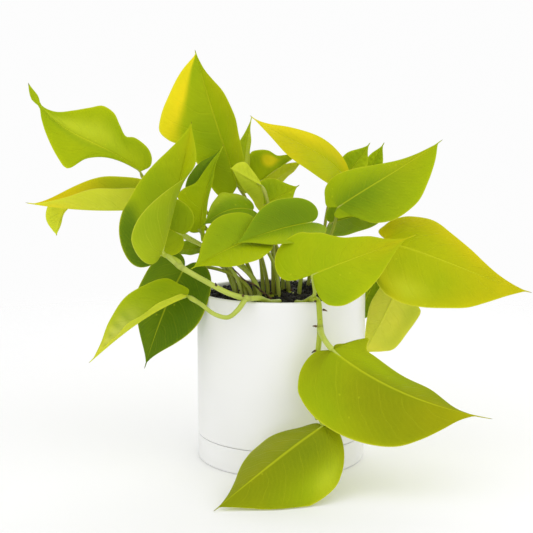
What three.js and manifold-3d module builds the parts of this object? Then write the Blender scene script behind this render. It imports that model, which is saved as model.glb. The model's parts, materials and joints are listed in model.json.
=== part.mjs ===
// A golden pothos in a white cylindrical planter with a flush saucer.
// Millimetres, +Z up, the front of the plant faces -Y. The origin is the centre of the saucer's foot.
import * as THREE from "three";
import { mergeVertices } from "three/addons/utils/BufferGeometryUtils.js";
import Module from "manifold-3d";

const wasm = await Module();
wasm.setup();

// Planter
const POT_RADIUS = 65;
const POT_HEIGHT = 130;
const POT_WALL = 3.6;
const POT_FLOOR = 4;
const POT_EDGE_ROUNDING = 0.5;
const RIM_ROUNDING = 1.2;
const DRAIN_RADIUS = 7;
const SAUCER_HEIGHT = 19.5;
const SAUCER_WALL = 3.4;
const SAUCER_FLOOR = 3;
const SAUCER_FOOT_ROUNDING = 2;
const FIT_GAP = 0.4;
const TURN_SEGMENTS = 48;
const ROUNDING_STEPS = 2;

// Soil
const SOIL_BELOW_RIM = 9;
const SOIL_DOME = 2;
const SOIL_LEVEL_SHARE = 0.84;
const SOIL_GAP = 0.4;

// Foliage
const LEAF_THICKNESS = 1.2;
const LEAF_ROWS = 12;
const LEAF_COLUMNS = 3;
const ROWS_BEHIND_BELLY = 5;
const SINUS_OPENING = 0.14;
const LOBE_SWING = 1.8;
const LOBE_PULL = 1.5;
const SHOULDER_LEAD = 0.3;
const BELLY_RUN = 0.45;
const TIP_RUN = 0.72;
const VEIN_LEAD = 0.1;
const VEIN_SWEEP = 1.25;
const BASE_THINNING = 0.12;
const LOBE_THINNING = 4;
const TIP_THINNING = 0.08;
const NECK_REACH = 0.07;
const NECK_DRAW = 0.85;
const PETIOLE_RADIUS = 1.6;
const PETIOLE_TIP_RADIUS = 0.45;
const PETIOLE_TAPER = 0.18;
const PETIOLE_GAP = 0.35;
const PETIOLE_ARRIVAL = [0.55, 0.85];
const PETIOLE_LIFT = 0.4;
const PETIOLE_EASE = 0.35;
const VINE_RADIUS = 2.3;
const RIM_CLEARANCE = 0.4;
const DRAWN_FOR_RADIUS = 65;
const TUBE_SIDES = 6;
const PETIOLE_STEPS = 8;
const VINE_STEPS_PER_SPAN = 3;
const MERGE_WITHIN = 1e-3;
const STRAIGHT_BELOW = 1e-6;

const POT_BOTTOM = SAUCER_FLOOR + FIT_GAP;
const POT_SHOULDER = SAUCER_HEIGHT + FIT_GAP;
const POT_INNER_RADIUS = POT_RADIUS - POT_WALL;
const FOOT_RADIUS = POT_RADIUS - SAUCER_WALL - FIT_GAP;
const FOOT_INNER_RADIUS = FOOT_RADIUS - POT_WALL;
const INNER_SHOULDER = POT_SHOULDER + POT_WALL;
const FOOT_FLOOR = POT_BOTTOM + POT_FLOOR;
const SOIL_RIM = POT_HEIGHT - SOIL_BELOW_RIM;
const GROWTH = POT_RADIUS / DRAWN_FOR_RADIUS;

// Heights from the rim, as all the foliage's are: vines on the soil, and vines over the lip.
const CROWN = SOIL_DOME + SOIL_GAP + VINE_RADIUS - SOIL_BELOW_RIM;
const OVER_RIM = (VINE_RADIUS + RIM_CLEARANCE) / GROWTH;

// Where the trailing vine passes behind its leaf, across from the planter's middle: its outer side stays put.
const BEHIND_LEAF = 28.3 - VINE_RADIUS;

// The blade that every leaf varies. Angles are in degrees. Pairs are [left, right] unless said otherwise,
// seen from the base towards the tip with the upper face on top.
const PLAIN_BLADE = {
  bend: [10, 10], // rise of the midrib above the chord, at base and at tip
  sway: [0, 0], // the same towards the left
  fold: [10, 10], // rise of each half at the base
  tipFold: null, // rise of each half at the tip, null to keep the base's
  curl: [0, 0], // further turn of each half between midrib and margin
  lobe: [0.1, 0.1], // reach of each lobe behind the base, in blade lengths
  share: [1, 1], // width of each half, in half widths
  belly: [0.3, 0.3], // where each half is widest, in blade lengths
  point: [0.2, 0.2], // fullness of each half before the tip
  neck: 0, // where the blade is drawn in, in blade lengths, 0 for nowhere
};

// Each leaf's own values: base and tip points, width, and the way its upper face looks. In all points the
// third number is the height from the planter's rim.
const BLADES = {
  leaf_far_left: {
    base: [-108, 2, 91], tip: [-189, -12, 158], width: 60, face: [0, -0.85, 0.5],
    sway: [-6, 33], bend: [0, -12], fold: [0, 10], curl: [0, 15], lobe: [0, 0.16],
    share: [0.85, 0.75], belly: [0.52, 0.4], point: [0.5, 0.45], neck: 0.83,
  },
  leaf_left_folded: {
    base: [-100, -5, 64], tip: [-192, -20, 69], width: 52, face: [0, 0, 1],
    bend: [-8, -8], fold: [30, 80], curl: [0, -8],
  },
  leaf_left_pale: {
    base: [-150, 4, 77], tip: [-173, 0, 42], width: 34, face: [-0.3, 0.8, 0.5],
    bend: [20, 10], share: [1.3, 0.4],
  },
  leaf_tall_front: {
    base: [-86, -58, 36], tip: [-65, -45, 129], width: 72, face: [-0.2, -0.95, 0.1],
    bend: [-8, -12], fold: [8, 95], tipFold: [20, 20], curl: [-25, 75], lobe: [0.14, 0.12],
    share: [1.35, 1],
  },
  leaf_behind_tall: {
    base: [-75, -30, 46], tip: [-114, -28, 63], width: 50, face: [0, -0.9, 0.3],
    fold: [15, 15], curl: [10, 10], lobe: [0.12, 0.12],
  },
  leaf_top: {
    base: [-34, 24, 79], tip: [-67, 26, 185], width: 66, face: [-0.25, -0.95, 0.1],
    bend: [5, 10], fold: [10, 35], curl: [0, 10], share: [1.45, 0.95], belly: [0.36, 0.3],
    point: [0.35, 0.3],
  },
  leaf_top_sliver: {
    base: [-30, 40, 85], tip: [-25, 38, 132], width: 20, face: [-0.8, -0.5, 0],
    bend: [5, 5],
  },
  leaf_dark_small: {
    base: [-69, 14, 77], tip: [-44, 16, 113], width: 30, face: [-0.5, -0.7, 0.4],
    bend: [5, 5], fold: [25, 10],
  },
  leaf_bright_small: {
    base: [-67, -2, 45], tip: [-56, 5, 94], width: 38, face: [-0.3, -0.9, 0.2],
    bend: [5, 5], fold: [20, 30], lobe: [0.08, 0.08],
  },
  leaf_trumpet: {
    base: [-15, -9, 81], tip: [-39, -13, 95], width: 50, face: [0.2, 0.95, 0.2],
    bend: [10, 5], lobe: [0.05, 0.5], share: [0.3, 1.3], belly: [0.4, 0.15],
  },
  leaf_curled: {
    base: [-16, 27, 83], tip: [18, 25, 106], width: 44, face: [-0.2, -0.9, 0.5],
    bend: [5, 10], fold: [10, 60], lobe: [0, 0.05], share: [1.1, 0.9],
  },
  leaf_curled_back: {
    base: [-10, 35, 80], tip: [20, 35, 99], width: 22, face: [0.2, 0.6, 0.8],
    bend: [5, 10],
  },
  leaf_mid_right: {
    base: [-15, 8, 64], tip: [14, 4, 81], width: 36, face: [0, -0.8, 0.5],
    bend: [10, -15], lobe: [0.03, 0.03],
  },
  leaf_yellow: {
    base: [49, 32, 88], tip: [-24, 4, 134], width: 44, face: [-0.3, -0.6, 0.8],
    bend: [22, -8], fold: [0, 10], curl: [-10, 20], share: [1.1, 0.65],
  },
  leaf_back_small: {
    base: [53, 50, 84], tip: [72, 45, 113], width: 26, face: [-0.3, -0.8, 0.5],
    bend: [5, -10],
  },
  leaf_back_sliver: {
    base: [70, 55, 84], tip: [84, 50, 113], width: 16, face: [0.3, -0.8, 0.5],
    bend: [5, -10],
  },
  leaf_right_high: {
    base: [34, -10, 68], tip: [119, -25, 116], width: 60, face: [-0.2, -0.75, 0.65],
    bend: [5, -8], fold: [-25, -15], lobe: [0.08, 0.12],
  },
  leaf_right_under: {
    base: [41, 15, 51], tip: [97, 0, 64], width: 44, face: [0, -0.7, 0.8],
    bend: [10, 5],
  },
  leaf_right_low: {
    base: [82, -15, 38], tip: [186, -35, 3], width: 74, face: [0.1, -0.8, 0.6],
    bend: [10, -8], fold: [5, -5], curl: [-20, -20], lobe: [0.08, 0.1], share: [0.82, 1],
    belly: [0.2, 0.3],
  },
  leaf_heart: {
    base: [21, -76, 22], tip: [92, -90, 52], width: 60, face: [0, -0.85, 0.45],
    bend: [8, -5], fold: [-5, 5], curl: [0, -10], lobe: [0.24, 0.12],
  },
  leaf_centre_dark: {
    base: [22, -30, 55], tip: [-36, -55, 41], width: 52, face: [0, -0.5, 0.85],
    bend: [8, 5], fold: [5, 35], curl: [0, 10], lobe: [0.1, 0.12],
  },
  leaf_centre_front: {
    base: [-18, -42, 45], tip: [-66, -62, 24], width: 60, face: [0, -0.5, 0.85],
    bend: [10, 5], fold: [5, 35],
  },
  leaf_left_low: {
    base: [-69, -50, 3], tip: [-142, -50, -47], width: 54, face: [0, -0.3, 0.95],
    bend: [15, 8], fold: [45, 40], curl: [-5, 5], lobe: [0.06, 0.1],
  },
  leaf_left_shade: {
    base: [-73, -22, 20], tip: [-104, -25, -57], width: 60, face: [-0.4, -0.9, 0.2],
    bend: [15, 10], fold: [0, 0], curl: [-10, -10],
  },
  leaf_trailing_right: {
    base: [35, -84, -30], tip: [134, -110, -72], width: 80, face: [0.05, -0.9, 0.4],
    bend: [10, 8], sway: [-14, -12], fold: [-68, -8], curl: [5, -10], lobe: [0.14, 0.1],
    share: [1, 1.15],
  },
  leaf_trailing_table: {
    base: [28, -96, -81], tip: [-47, -133, -129.6], width: 72, face: [0, -0.75, 0.65],
    bend: [12, 5], fold: [-12, -50], curl: [-15, -10], lobe: [0.06, 0.08],
  },
  leaf_back_pale: {
    base: [94, 25, -1], tip: [69, 40, -58], width: 64, face: [0.4, 0.9, 0.1],
    bend: [15, 15], lobe: [0, 0.1], share: [0.3, 1.1], belly: [0.3, 0.45],
  },
  leaf_back_green: {
    base: [81, 45, 10], tip: [58, 58, -41], width: 36, face: [0.2, -0.9, 0.2],
    bend: [15, 15],
  },
  leaf_grey_small: {
    base: [-61, 0, 32], tip: [-88, -3, 27], width: 16, face: [-0.1, -0.6, 0.7],
    bend: [25, 20], lobe: [0.05, 0.05],
  },
  leaf_centre_arch: {
    base: [-22, -14, 60], tip: [-59, -24, 48], width: 44, face: [0, -0.7, 0.7],
    bend: [25, 20], curl: [0, -40],
  },
};

// Each stem: the points its vine runs through, and the leaf stalks that leave it. A stalk starts at
// "from", passes any points in "via", and ends just short of its leaf's base. "arrive" is its last direction,
// as shares along the midrib and up from the blade.
const STEMS = {
  vine_trailing: {
    vine: [
      [10, -34, CROWN], [16, -50, -2], [22, -60, OVER_RIM], [25.5, -67.5, 1.5], [26.5, -68.5, -8],
      [BEHIND_LEAF + 1, -68, -18], [BEHIND_LEAF, -69, -29], [24, -72, -46], [23, -79, -66],
      [24, -88, -79],
    ],
    stub: [[24, -86, -76], [30, -83, -80], [35, -79, -87], [37, -77, -94]],
    stalks: [
      { leaf: "leaf_heart", from: [22, -60, OVER_RIM], via: [[23, -67, 8], [22, -73, 15]] },
      {
        leaf: "leaf_trailing_right", from: [27, -68, -18], arrive: [1, 0],
        via: [[28, -76, -21], [31, -83, -25.5]],
      },
      { leaf: "leaf_trailing_table", from: [23, -85, -74], arrive: [1, -0.6], via: [[25, -91, -76]] },
    ],
  },
  vine_left: {
    vine: [
      [0, -30, CROWN], [-9, -46, OVER_RIM - 4.9], [-17, -59, OVER_RIM], [-26, -67, OVER_RIM + 1.1],
      [-39, -68, 8],
      [-55, -65, 16], [-73, -61, 26], [-83, -58, 34],
    ],
    stalks: [
      { leaf: "leaf_tall_front", from: [-73, -61, 26], via: [] },
      {
        leaf: "leaf_left_low", from: [-26, -67, OVER_RIM + 1.1],
        via: [[-33, -73, -3], [-40, -75, -8], [-48, -71, -9], [-58, -62, -5]],
      },
    ],
  },
  stems_left: {
    vine: [[-34, -22, CROWN], [-22, -27, CROWN], [-8, -28, CROWN]],
    stalks: [
      { leaf: "leaf_far_left", from: [-34, -22, CROWN], via: [] },
      { leaf: "leaf_left_folded", from: [-30, -24, CROWN], via: [] },
      {
        leaf: "leaf_left_pale", from: [-32, -23, CROWN], arrive: [0.5, -0.85],
        via: [[-60, 2, 50], [-110, 16, 82], [-142, 10, 83]],
      },
      { leaf: "leaf_behind_tall", from: [-16, -28, CROWN], via: [] },
      { leaf: "leaf_left_shade", from: [-22, -27, CROWN], via: [] },
      { leaf: "leaf_grey_small", from: [-26, -25, CROWN], via: [] },
    ],
  },
  stems_centre_left: {
    vine: [[-20, -6, CROWN], [-10, -10, CROWN], [0, -14, CROWN]],
    stalks: [
      { leaf: "leaf_top", from: [-14, -8, CROWN], via: [] },
      { leaf: "leaf_dark_small", from: [-20, -6, CROWN], via: [] },
      { leaf: "leaf_bright_small", from: [-17, -7, CROWN], via: [] },
      { leaf: "leaf_trumpet", from: [-6, -11, CROWN], via: [] },
      { leaf: "leaf_centre_arch", from: [-10, -10, CROWN], via: [] },
      { leaf: "leaf_centre_front", from: [-2, -13, CROWN], via: [] },
    ],
  },
  stems_centre: {
    vine: [[-6, 14, CROWN], [4, 8, CROWN], [14, -2, CROWN]],
    stalks: [
      { leaf: "leaf_top_sliver", from: [-6, 14, CROWN], via: [] },
      { leaf: "leaf_curled", from: [2, 9, CROWN], via: [] },
      { leaf: "leaf_curled_back", from: [-2, 12, CROWN], via: [] },
      { leaf: "leaf_mid_right", from: [6, 6, CROWN], via: [] },
      { leaf: "leaf_centre_dark", from: [14, -2, CROWN], via: [] },
    ],
  },
  stems_right: {
    vine: [[26, -16, CROWN], [31, -6, CROWN], [34, 4, CROWN]],
    stalks: [
      { leaf: "leaf_yellow", from: [32, -2, CROWN], via: [] },
      { leaf: "leaf_right_high", from: [28, -12, CROWN], via: [] },
      { leaf: "leaf_right_under", from: [34, 4, CROWN], via: [] },
      { leaf: "leaf_right_low", from: [30, -8, CROWN], via: [] },
    ],
  },
  stems_back: {
    vine: [[20, 24, CROWN], [30, 27, CROWN], [38, 28, CROWN]],
    stalks: [
      { leaf: "leaf_back_small", from: [22, 25, CROWN], via: [] },
      { leaf: "leaf_back_sliver", from: [28, 26, CROWN], via: [] },
      { leaf: "leaf_back_pale", from: [38, 28, CROWN], via: [] },
      { leaf: "leaf_back_green", from: [34, 27.5, CROWN], via: [] },
    ],
  },
};

const radians = THREE.MathUtils.degToRad;
const lerp = THREE.MathUtils.lerp;
const clamp = THREE.MathUtils.clamp;
const vector = (values) => new THREE.Vector3(...values);

// A place in the foliage. The plant grows with the planter, but what hangs keeps its depth below the rim.
function place([x, y, height]) {
  const rise = height > 0 ? height * GROWTH : height;
  return new THREE.Vector3(x * GROWTH, y * GROWTH, POT_HEIGHT + rise);
}

// Every blade with the plain blade's values filled in.
function bladeNamed(name) {
  const blade = { ...PLAIN_BLADE, ...BLADES[name] };
  blade.tipFold ??= blade.fold;
  return blade;
}

// The midrib's curve, with the blade's own directions: along, left and up.
function midribOf(blade) {
  const base = place(blade.base);
  const tip = place(blade.tip);
  const chord = tip.clone().sub(base);
  const along = chord.clone().normalize();
  const up = vector(blade.face).projectOnPlane(along).normalize();
  const left = up.clone().cross(along);
  const third = chord.length() / 3;
  const handle = (bend, sway) =>
    up
      .clone()
      .multiplyScalar(Math.tan(radians(bend)))
      .addScaledVector(left, Math.tan(radians(sway)));
  const leaving = along.clone().add(handle(blade.bend[0], blade.sway[0]));
  const arriving = along.clone().sub(handle(blade.bend[1], blade.sway[1]));
  const curve = new THREE.CubicBezierCurve3(
    base,
    base.clone().addScaledVector(leaving, third),
    tip.clone().addScaledVector(arriving, -third),
    tip,
  );
  return { curve, up, length: chord.length() };
}

// Position and directions at a share of the midrib's length. Below 0 the midrib runs straight on behind.
function stationAt(midrib, share) {
  const inside = clamp(share, 0, 1);
  const along = midrib.curve.getTangent(inside);
  const up = midrib.up.clone().projectOnPlane(along).normalize();
  const left = up.clone().cross(along);
  const point = midrib.curve
    .getPoint(inside)
    .addScaledVector(along, Math.min(share, 0) * midrib.length);
  return { point, along, left, up };
}

// Flat outline of one half: pairs of distance along the midrib and distance out from it.
function halfOutline(blade, side) {
  const [lobe, belly, point] = [blade.lobe[side], blade.belly[side], blade.point[side]];
  const rest = 1 - belly;
  const plane = (x, y) => new THREE.Vector2(x, y);
  const back = new THREE.CubicBezierCurve(
    plane(0, 0),
    plane(-LOBE_SWING * lobe, SINUS_OPENING),
    plane(belly - SHOULDER_LEAD - LOBE_PULL * lobe, 1),
    plane(belly, 1),
  );
  const front = new THREE.CubicBezierCurve(
    plane(belly, 1),
    plane(belly + BELLY_RUN * rest, 1),
    plane(belly + TIP_RUN * rest, point),
    plane(1, 0),
  );
  const points = [
    ...back.getPoints(ROWS_BEHIND_BELLY),
    ...front.getPoints(LEAF_ROWS - ROWS_BEHIND_BELLY).slice(1),
  ];
  if (blade.neck > 0)
    for (const p of points)
      p.y *= 1 - NECK_DRAW * Math.exp(-(((p.x - blade.neck) / NECK_REACH) ** 2));
  return points;
}

// Where each row of the blade leaves the midrib: a little behind the place where it meets the margins.
function rowRoots([leftOutline, rightOutline]) {
  return leftOutline.map((edge, row) => {
    const reach = (edge.x + rightOutline[row].x) / 2;
    return clamp((reach - VEIN_LEAD) / (1 - VEIN_LEAD), 0, 1);
  });
}

// Middle surface of one half: point and upward normal at a place given by row and column.
function halfSurface(blade, midrib, side, outline, roots) {
  const sign = side === 0 ? 1 : -1;
  const halfWidth = (blade.width / 2) * blade.share[side] * GROWTH;
  const turn = radians(blade.curl[side]) / halfWidth;
  return outline.map((edge, row) => {
    const root = roots[row];
    return Array.from({ length: LEAF_COLUMNS + 1 }, (_, column) => {
      const out = column / LEAF_COLUMNS;
      const share = root + (edge.x - root) * out ** VEIN_SWEEP;
      const { point, left, up } = stationAt(midrib, share);
      const start = radians(lerp(blade.fold[side], blade.tipFold[side], clamp(share, 0, 1)));
      const distance = edge.y * out * halfWidth;
      const end = start + turn * distance;
      const straight = Math.abs(turn) < STRAIGHT_BELOW;
      const across = straight ? distance * Math.cos(start) : (Math.sin(end) - Math.sin(start)) / turn;
      const rise = straight ? distance * Math.sin(start) : (Math.cos(start) - Math.cos(end)) / turn;
      point.addScaledVector(left, sign * across).addScaledVector(up, rise);
      const normal = up
        .clone()
        .multiplyScalar(Math.cos(end))
        .addScaledVector(left, -sign * Math.sin(end));
      return { point, normal, root, out, distance };
    });
  });
}

// Thickness of a blade: full along the midrib, nothing at the margin, the base and the tip.
function thicknessAt({ root, out, distance }) {
  const fromBase = Math.min(1, root / BASE_THINNING);
  const outFromBase = Math.min(1, distance / LOBE_THINNING);
  const toTip = Math.min(1, (1 - root) / TIP_THINNING);
  return LEAF_THICKNESS * (1 - out ** 2) * lerp(outFromBase, 1, fromBase) * toTip;
}

// A closed body from triangles given as vertex triples, with equal vertices joined.
function bodyFrom(triples) {
  const positions = triples.flatMap((v) => v.toArray());
  const loose = new THREE.BufferGeometry();
  loose.setAttribute("position", new THREE.Float32BufferAttribute(positions, 3));
  const body = mergeVertices(loose, MERGE_WITHIN);
  const index = body.index.array;
  const kept = [];
  for (let i = 0; i < index.length; i += 3) {
    const [a, b, c] = index.slice(i, i + 3);
    if (a !== b && b !== c && a !== c) kept.push(a, b, c);
  }
  body.setIndex(kept);
  body.computeVertexNormals();
  return body;
}

// A leaf blade, thin as a lens: an upper and a lower face that meet at the margin.
function bladeGeometry(name) {
  const blade = bladeNamed(name);
  const midrib = midribOf(blade);
  const outlines = [0, 1].map((side) => halfOutline(blade, side));
  const roots = rowRoots(outlines);
  const halves = [0, 1].map((side) => halfSurface(blade, midrib, side, outlines[side], roots));
  for (let row = 0; row <= LEAF_ROWS; row++) {
    const [a, b] = halves.map((half) => half[row][0]);
    const shared = a.normal.clone().add(b.normal).normalize();
    a.normal.copy(shared);
    b.normal.copy(shared);
  }
  const triples = [];
  for (const side of [0, 1])
    for (const face of [1, -1]) {
      const corner = (row, column) => {
        const spot = halves[side][row][column];
        return spot.point.clone().addScaledVector(spot.normal, (face * thicknessAt(spot)) / 2);
      };
      const outward = (side === 0) === (face === 1);
      for (let row = 0; row < LEAF_ROWS; row++)
        for (let column = 0; column < LEAF_COLUMNS; column++) {
          const corners = [
            corner(row, column),
            corner(row + 1, column),
            corner(row + 1, column + 1),
            corner(row, column + 1),
          ];
          if (!outward) corners.reverse();
          const [a, b, c, d] = corners;
          triples.push(a, b, c, a, c, d);
        }
    }
  return bodyFrom(triples);
}

// A round solid along a row of points, with a radius for each point and flat ends.
function tubeGeometry(points, radii) {
  const last = points.length - 1;
  const along = points.map((_, i) =>
    points[Math.min(i + 1, last)].clone().sub(points[Math.max(i - 1, 0)]).normalize(),
  );
  let across = new THREE.Vector3(1, 0, 0).projectOnPlane(along[0]).normalize();
  const rings = points.map((point, i) => {
    across = across.clone().projectOnPlane(along[i]).normalize();
    const other = along[i].clone().cross(across);
    return Array.from({ length: TUBE_SIDES }, (_, k) => {
      const angle = (2 * Math.PI * k) / TUBE_SIDES;
      return point
        .clone()
        .addScaledVector(across, radii[i] * Math.cos(angle))
        .addScaledVector(other, radii[i] * Math.sin(angle));
    });
  });
  const triples = [];
  for (let k = 0; k < TUBE_SIDES; k++) {
    const next = (k + 1) % TUBE_SIDES;
    triples.push(points[0], rings[0][next], rings[0][k]);
    triples.push(points[last], rings[last][k], rings[last][next]);
    for (let i = 0; i < last; i++) {
      triples.push(rings[i][k], rings[i][next], rings[i + 1][next]);
      triples.push(rings[i][k], rings[i + 1][next], rings[i + 1][k]);
    }
  }
  return bodyFrom(triples);
}

// A vine through its points, one radius all along.
function vineGeometry(path, radius) {
  const curve = new THREE.CatmullRomCurve3(path.map(place), false, "centripetal");
  const points = curve.getPoints((path.length - 1) * VINE_STEPS_PER_SPAN);
  return tubeGeometry(points, points.map(() => radius));
}

// A leaf stalk: it rises from its vine and meets the blade's base from below, drawn in to a fine end.
function stalkGeometry(stalk) {
  const { curve, up } = midribOf(bladeNamed(stalk.leaf));
  const start = place(stalk.from);
  const [forward, upward] = stalk.arrive ?? PETIOLE_ARRIVAL;
  const arriving = curve.getTangent(0).multiplyScalar(forward).addScaledVector(up, upward).normalize();
  const end = curve.getPoint(0).addScaledVector(arriving, -PETIOLE_GAP);
  const reach = start.distanceTo(end);
  const path = stalk.via.length
    ? new THREE.CatmullRomCurve3([start, ...stalk.via.map(place), end], false, "centripetal")
    : new THREE.CubicBezierCurve3(
        start,
        start.clone().add(new THREE.Vector3(0, 0, reach * PETIOLE_LIFT)),
        end.clone().addScaledVector(arriving, -reach * PETIOLE_EASE),
        end,
      );
  const steps = Math.max(PETIOLE_STEPS, (stalk.via.length + 1) * VINE_STEPS_PER_SPAN);
  const points = path.getSpacedPoints(steps);
  const radii = points.map((_, i) =>
    lerp(PETIOLE_TIP_RADIUS, PETIOLE_RADIUS, clamp((1 - i / steps) / PETIOLE_TAPER, 0, 1)),
  );
  return tubeGeometry(points, radii);
}

// Bodies that grow into one another, joined.
function joined(geometries) {
  const solids = geometries.map(
    (g) =>
      new wasm.Manifold(
        new wasm.Mesh({
          numProp: 3,
          vertProperties: g.attributes.position.array,
          triVerts: new Uint32Array(g.index.array),
        }),
      ),
  );
  const mesh = solids.reduce((a, b) => a.add(b)).getMesh();
  const geometry = new THREE.BufferGeometry();
  geometry.setAttribute("position", new THREE.BufferAttribute(mesh.vertProperties, 3));
  geometry.setIndex(new THREE.BufferAttribute(mesh.triVerts, 1));
  geometry.computeVertexNormals();
  return geometry;
}

// A vine with its side stub and its leaf stalks.
function stemGeometry({ vine, stub, stalks }) {
  const parts = [vineGeometry(vine, VINE_RADIUS)];
  if (stub) parts.push(vineGeometry(stub, PETIOLE_RADIUS));
  parts.push(...stalks.map(stalkGeometry));
  return joined(parts);
}

// A turned body from a profile of [radius, height] pairs.
function turned(profile) {
  const points = profile.map(([r, z]) => new THREE.Vector2(r, z));
  const body = new THREE.LatheGeometry(points, TURN_SEGMENTS);
  body.rotateX(Math.PI / 2);
  return body;
}

// Points of a rounded edge about a centre, from one angle to another, in degrees.
function rounding(radius, height, size, from, to) {
  return Array.from({ length: ROUNDING_STEPS + 1 }, (_, i) => {
    const angle = radians(lerp(from, to, i / ROUNDING_STEPS));
    return [radius + size * Math.cos(angle), height + size * Math.sin(angle)];
  });
}

// The planter: a straight wall with a rounded lip, and a narrower foot that stands in the saucer.
function potGeometry() {
  const rimHeight = POT_HEIGHT - RIM_ROUNDING;
  const first = [DRAIN_RADIUS, POT_BOTTOM];
  return turned([
    first,
    [FOOT_RADIUS - POT_EDGE_ROUNDING, POT_BOTTOM],
    [FOOT_RADIUS, POT_BOTTOM + POT_EDGE_ROUNDING],
    [FOOT_RADIUS, POT_SHOULDER],
    [POT_RADIUS - POT_EDGE_ROUNDING, POT_SHOULDER],
    [POT_RADIUS, POT_SHOULDER + POT_EDGE_ROUNDING],
    ...rounding(POT_RADIUS - RIM_ROUNDING, rimHeight, RIM_ROUNDING, 0, 90),
    ...rounding(POT_INNER_RADIUS + RIM_ROUNDING, rimHeight, RIM_ROUNDING, 90, 180),
    [POT_INNER_RADIUS, INNER_SHOULDER],
    [FOOT_INNER_RADIUS, POT_SHOULDER],
    [FOOT_INNER_RADIUS, FOOT_FLOOR],
    [DRAIN_RADIUS, FOOT_FLOOR],
    first,
  ]);
}

// The saucer: a flat base and a wall flush with the planter's.
function saucerGeometry() {
  const innerRadius = POT_RADIUS - SAUCER_WALL;
  return turned([
    [0, 0],
    ...rounding(POT_RADIUS - SAUCER_FOOT_ROUNDING, SAUCER_FOOT_ROUNDING, SAUCER_FOOT_ROUNDING, -90, 0),
    [POT_RADIUS, SAUCER_HEIGHT - POT_EDGE_ROUNDING],
    [POT_RADIUS - POT_EDGE_ROUNDING, SAUCER_HEIGHT],
    [innerRadius, SAUCER_HEIGHT],
    [innerRadius, SAUCER_FLOOR],
    [0, SAUCER_FLOOR],
  ]);
}

// The soil: it fills the planter to a low dome, clear of the wall.
function soilGeometry() {
  return turned([
    [0, FOOT_FLOOR + SOIL_GAP],
    [FOOT_INNER_RADIUS - SOIL_GAP, FOOT_FLOOR + SOIL_GAP],
    [FOOT_INNER_RADIUS - SOIL_GAP, POT_SHOULDER + SOIL_GAP],
    [POT_INNER_RADIUS - SOIL_GAP, INNER_SHOULDER + SOIL_GAP],
    [POT_INNER_RADIUS - SOIL_GAP, SOIL_RIM],
    [POT_INNER_RADIUS * SOIL_LEVEL_SHARE, SOIL_RIM + SOIL_DOME],
    [0, SOIL_RIM + SOIL_DOME],
  ]);
}

const whitePlastic = () => new THREE.MeshStandardMaterial({ color: 0xf2f2f0, roughness: 0.35 });
const darkSoil = () => new THREE.MeshStandardMaterial({ color: 0x2a1f18, roughness: 0.95 });
const greenStem = () => new THREE.MeshStandardMaterial({ color: 0x9bb52a, roughness: 0.5 });
const limeBlade = () =>
  new THREE.MeshStandardMaterial({ color: 0xa9c400, roughness: 0.45, side: THREE.DoubleSide });

function named(name, geometry, material) {
  const mesh = new THREE.Mesh(geometry, material);
  mesh.name = name;
  return mesh;
}

const plant = new THREE.Group();
plant.add(named("pot", potGeometry(), whitePlastic()));
plant.add(named("saucer", saucerGeometry(), whitePlastic()));
plant.add(named("soil", soilGeometry(), darkSoil()));
for (const [name, stem] of Object.entries(STEMS)) plant.add(named(name, stemGeometry(stem), greenStem()));
for (const name of Object.keys(BLADES)) plant.add(named(name, bladeGeometry(name), limeBlade()));

export default plant;
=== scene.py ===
"""A golden pothos in a white planter: its leaves, stems, soil and planter, dressed for rendering.

Lengths in the tables are millimetres, as in the part's own source, and are turned to metres where a mesh
is made. The third number of a place in the foliage is its height from the planter's rim.
"""

from __future__ import annotations

import json
import logging
import math
from dataclasses import dataclass, field
from enum import Enum
from functools import cache

import bmesh
import bpy
import numpy as np
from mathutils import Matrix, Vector, noise

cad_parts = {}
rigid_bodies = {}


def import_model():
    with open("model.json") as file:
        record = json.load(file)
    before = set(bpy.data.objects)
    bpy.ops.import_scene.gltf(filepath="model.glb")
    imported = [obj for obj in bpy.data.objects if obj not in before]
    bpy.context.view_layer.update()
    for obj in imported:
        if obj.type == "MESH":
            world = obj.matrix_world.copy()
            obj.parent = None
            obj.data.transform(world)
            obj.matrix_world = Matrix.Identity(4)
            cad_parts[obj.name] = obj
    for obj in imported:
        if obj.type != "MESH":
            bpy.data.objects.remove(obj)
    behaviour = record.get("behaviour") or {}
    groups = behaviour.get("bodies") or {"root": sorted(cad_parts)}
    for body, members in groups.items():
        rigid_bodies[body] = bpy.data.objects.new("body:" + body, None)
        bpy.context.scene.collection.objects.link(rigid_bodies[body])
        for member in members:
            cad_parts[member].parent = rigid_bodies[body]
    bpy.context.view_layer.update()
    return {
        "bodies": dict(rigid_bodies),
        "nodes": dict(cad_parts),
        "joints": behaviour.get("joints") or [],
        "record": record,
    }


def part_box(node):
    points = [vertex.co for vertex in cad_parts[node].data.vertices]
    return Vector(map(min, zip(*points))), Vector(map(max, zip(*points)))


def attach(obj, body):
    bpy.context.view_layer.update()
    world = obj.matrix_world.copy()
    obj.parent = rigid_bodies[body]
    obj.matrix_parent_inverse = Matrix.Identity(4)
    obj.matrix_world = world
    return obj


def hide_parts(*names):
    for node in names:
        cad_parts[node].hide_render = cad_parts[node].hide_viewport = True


LOG = logging.getLogger("pothos")
# Metres in a millimetre, and the length in metres under which an edge counts as nothing.
MM = 0.001
NOTHING = 1e-7
Place = tuple[float, float, float]
Pair = tuple[float, float]
Colour = tuple[float, float, float]
Socket = bpy.types.NodeSocket


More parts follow.
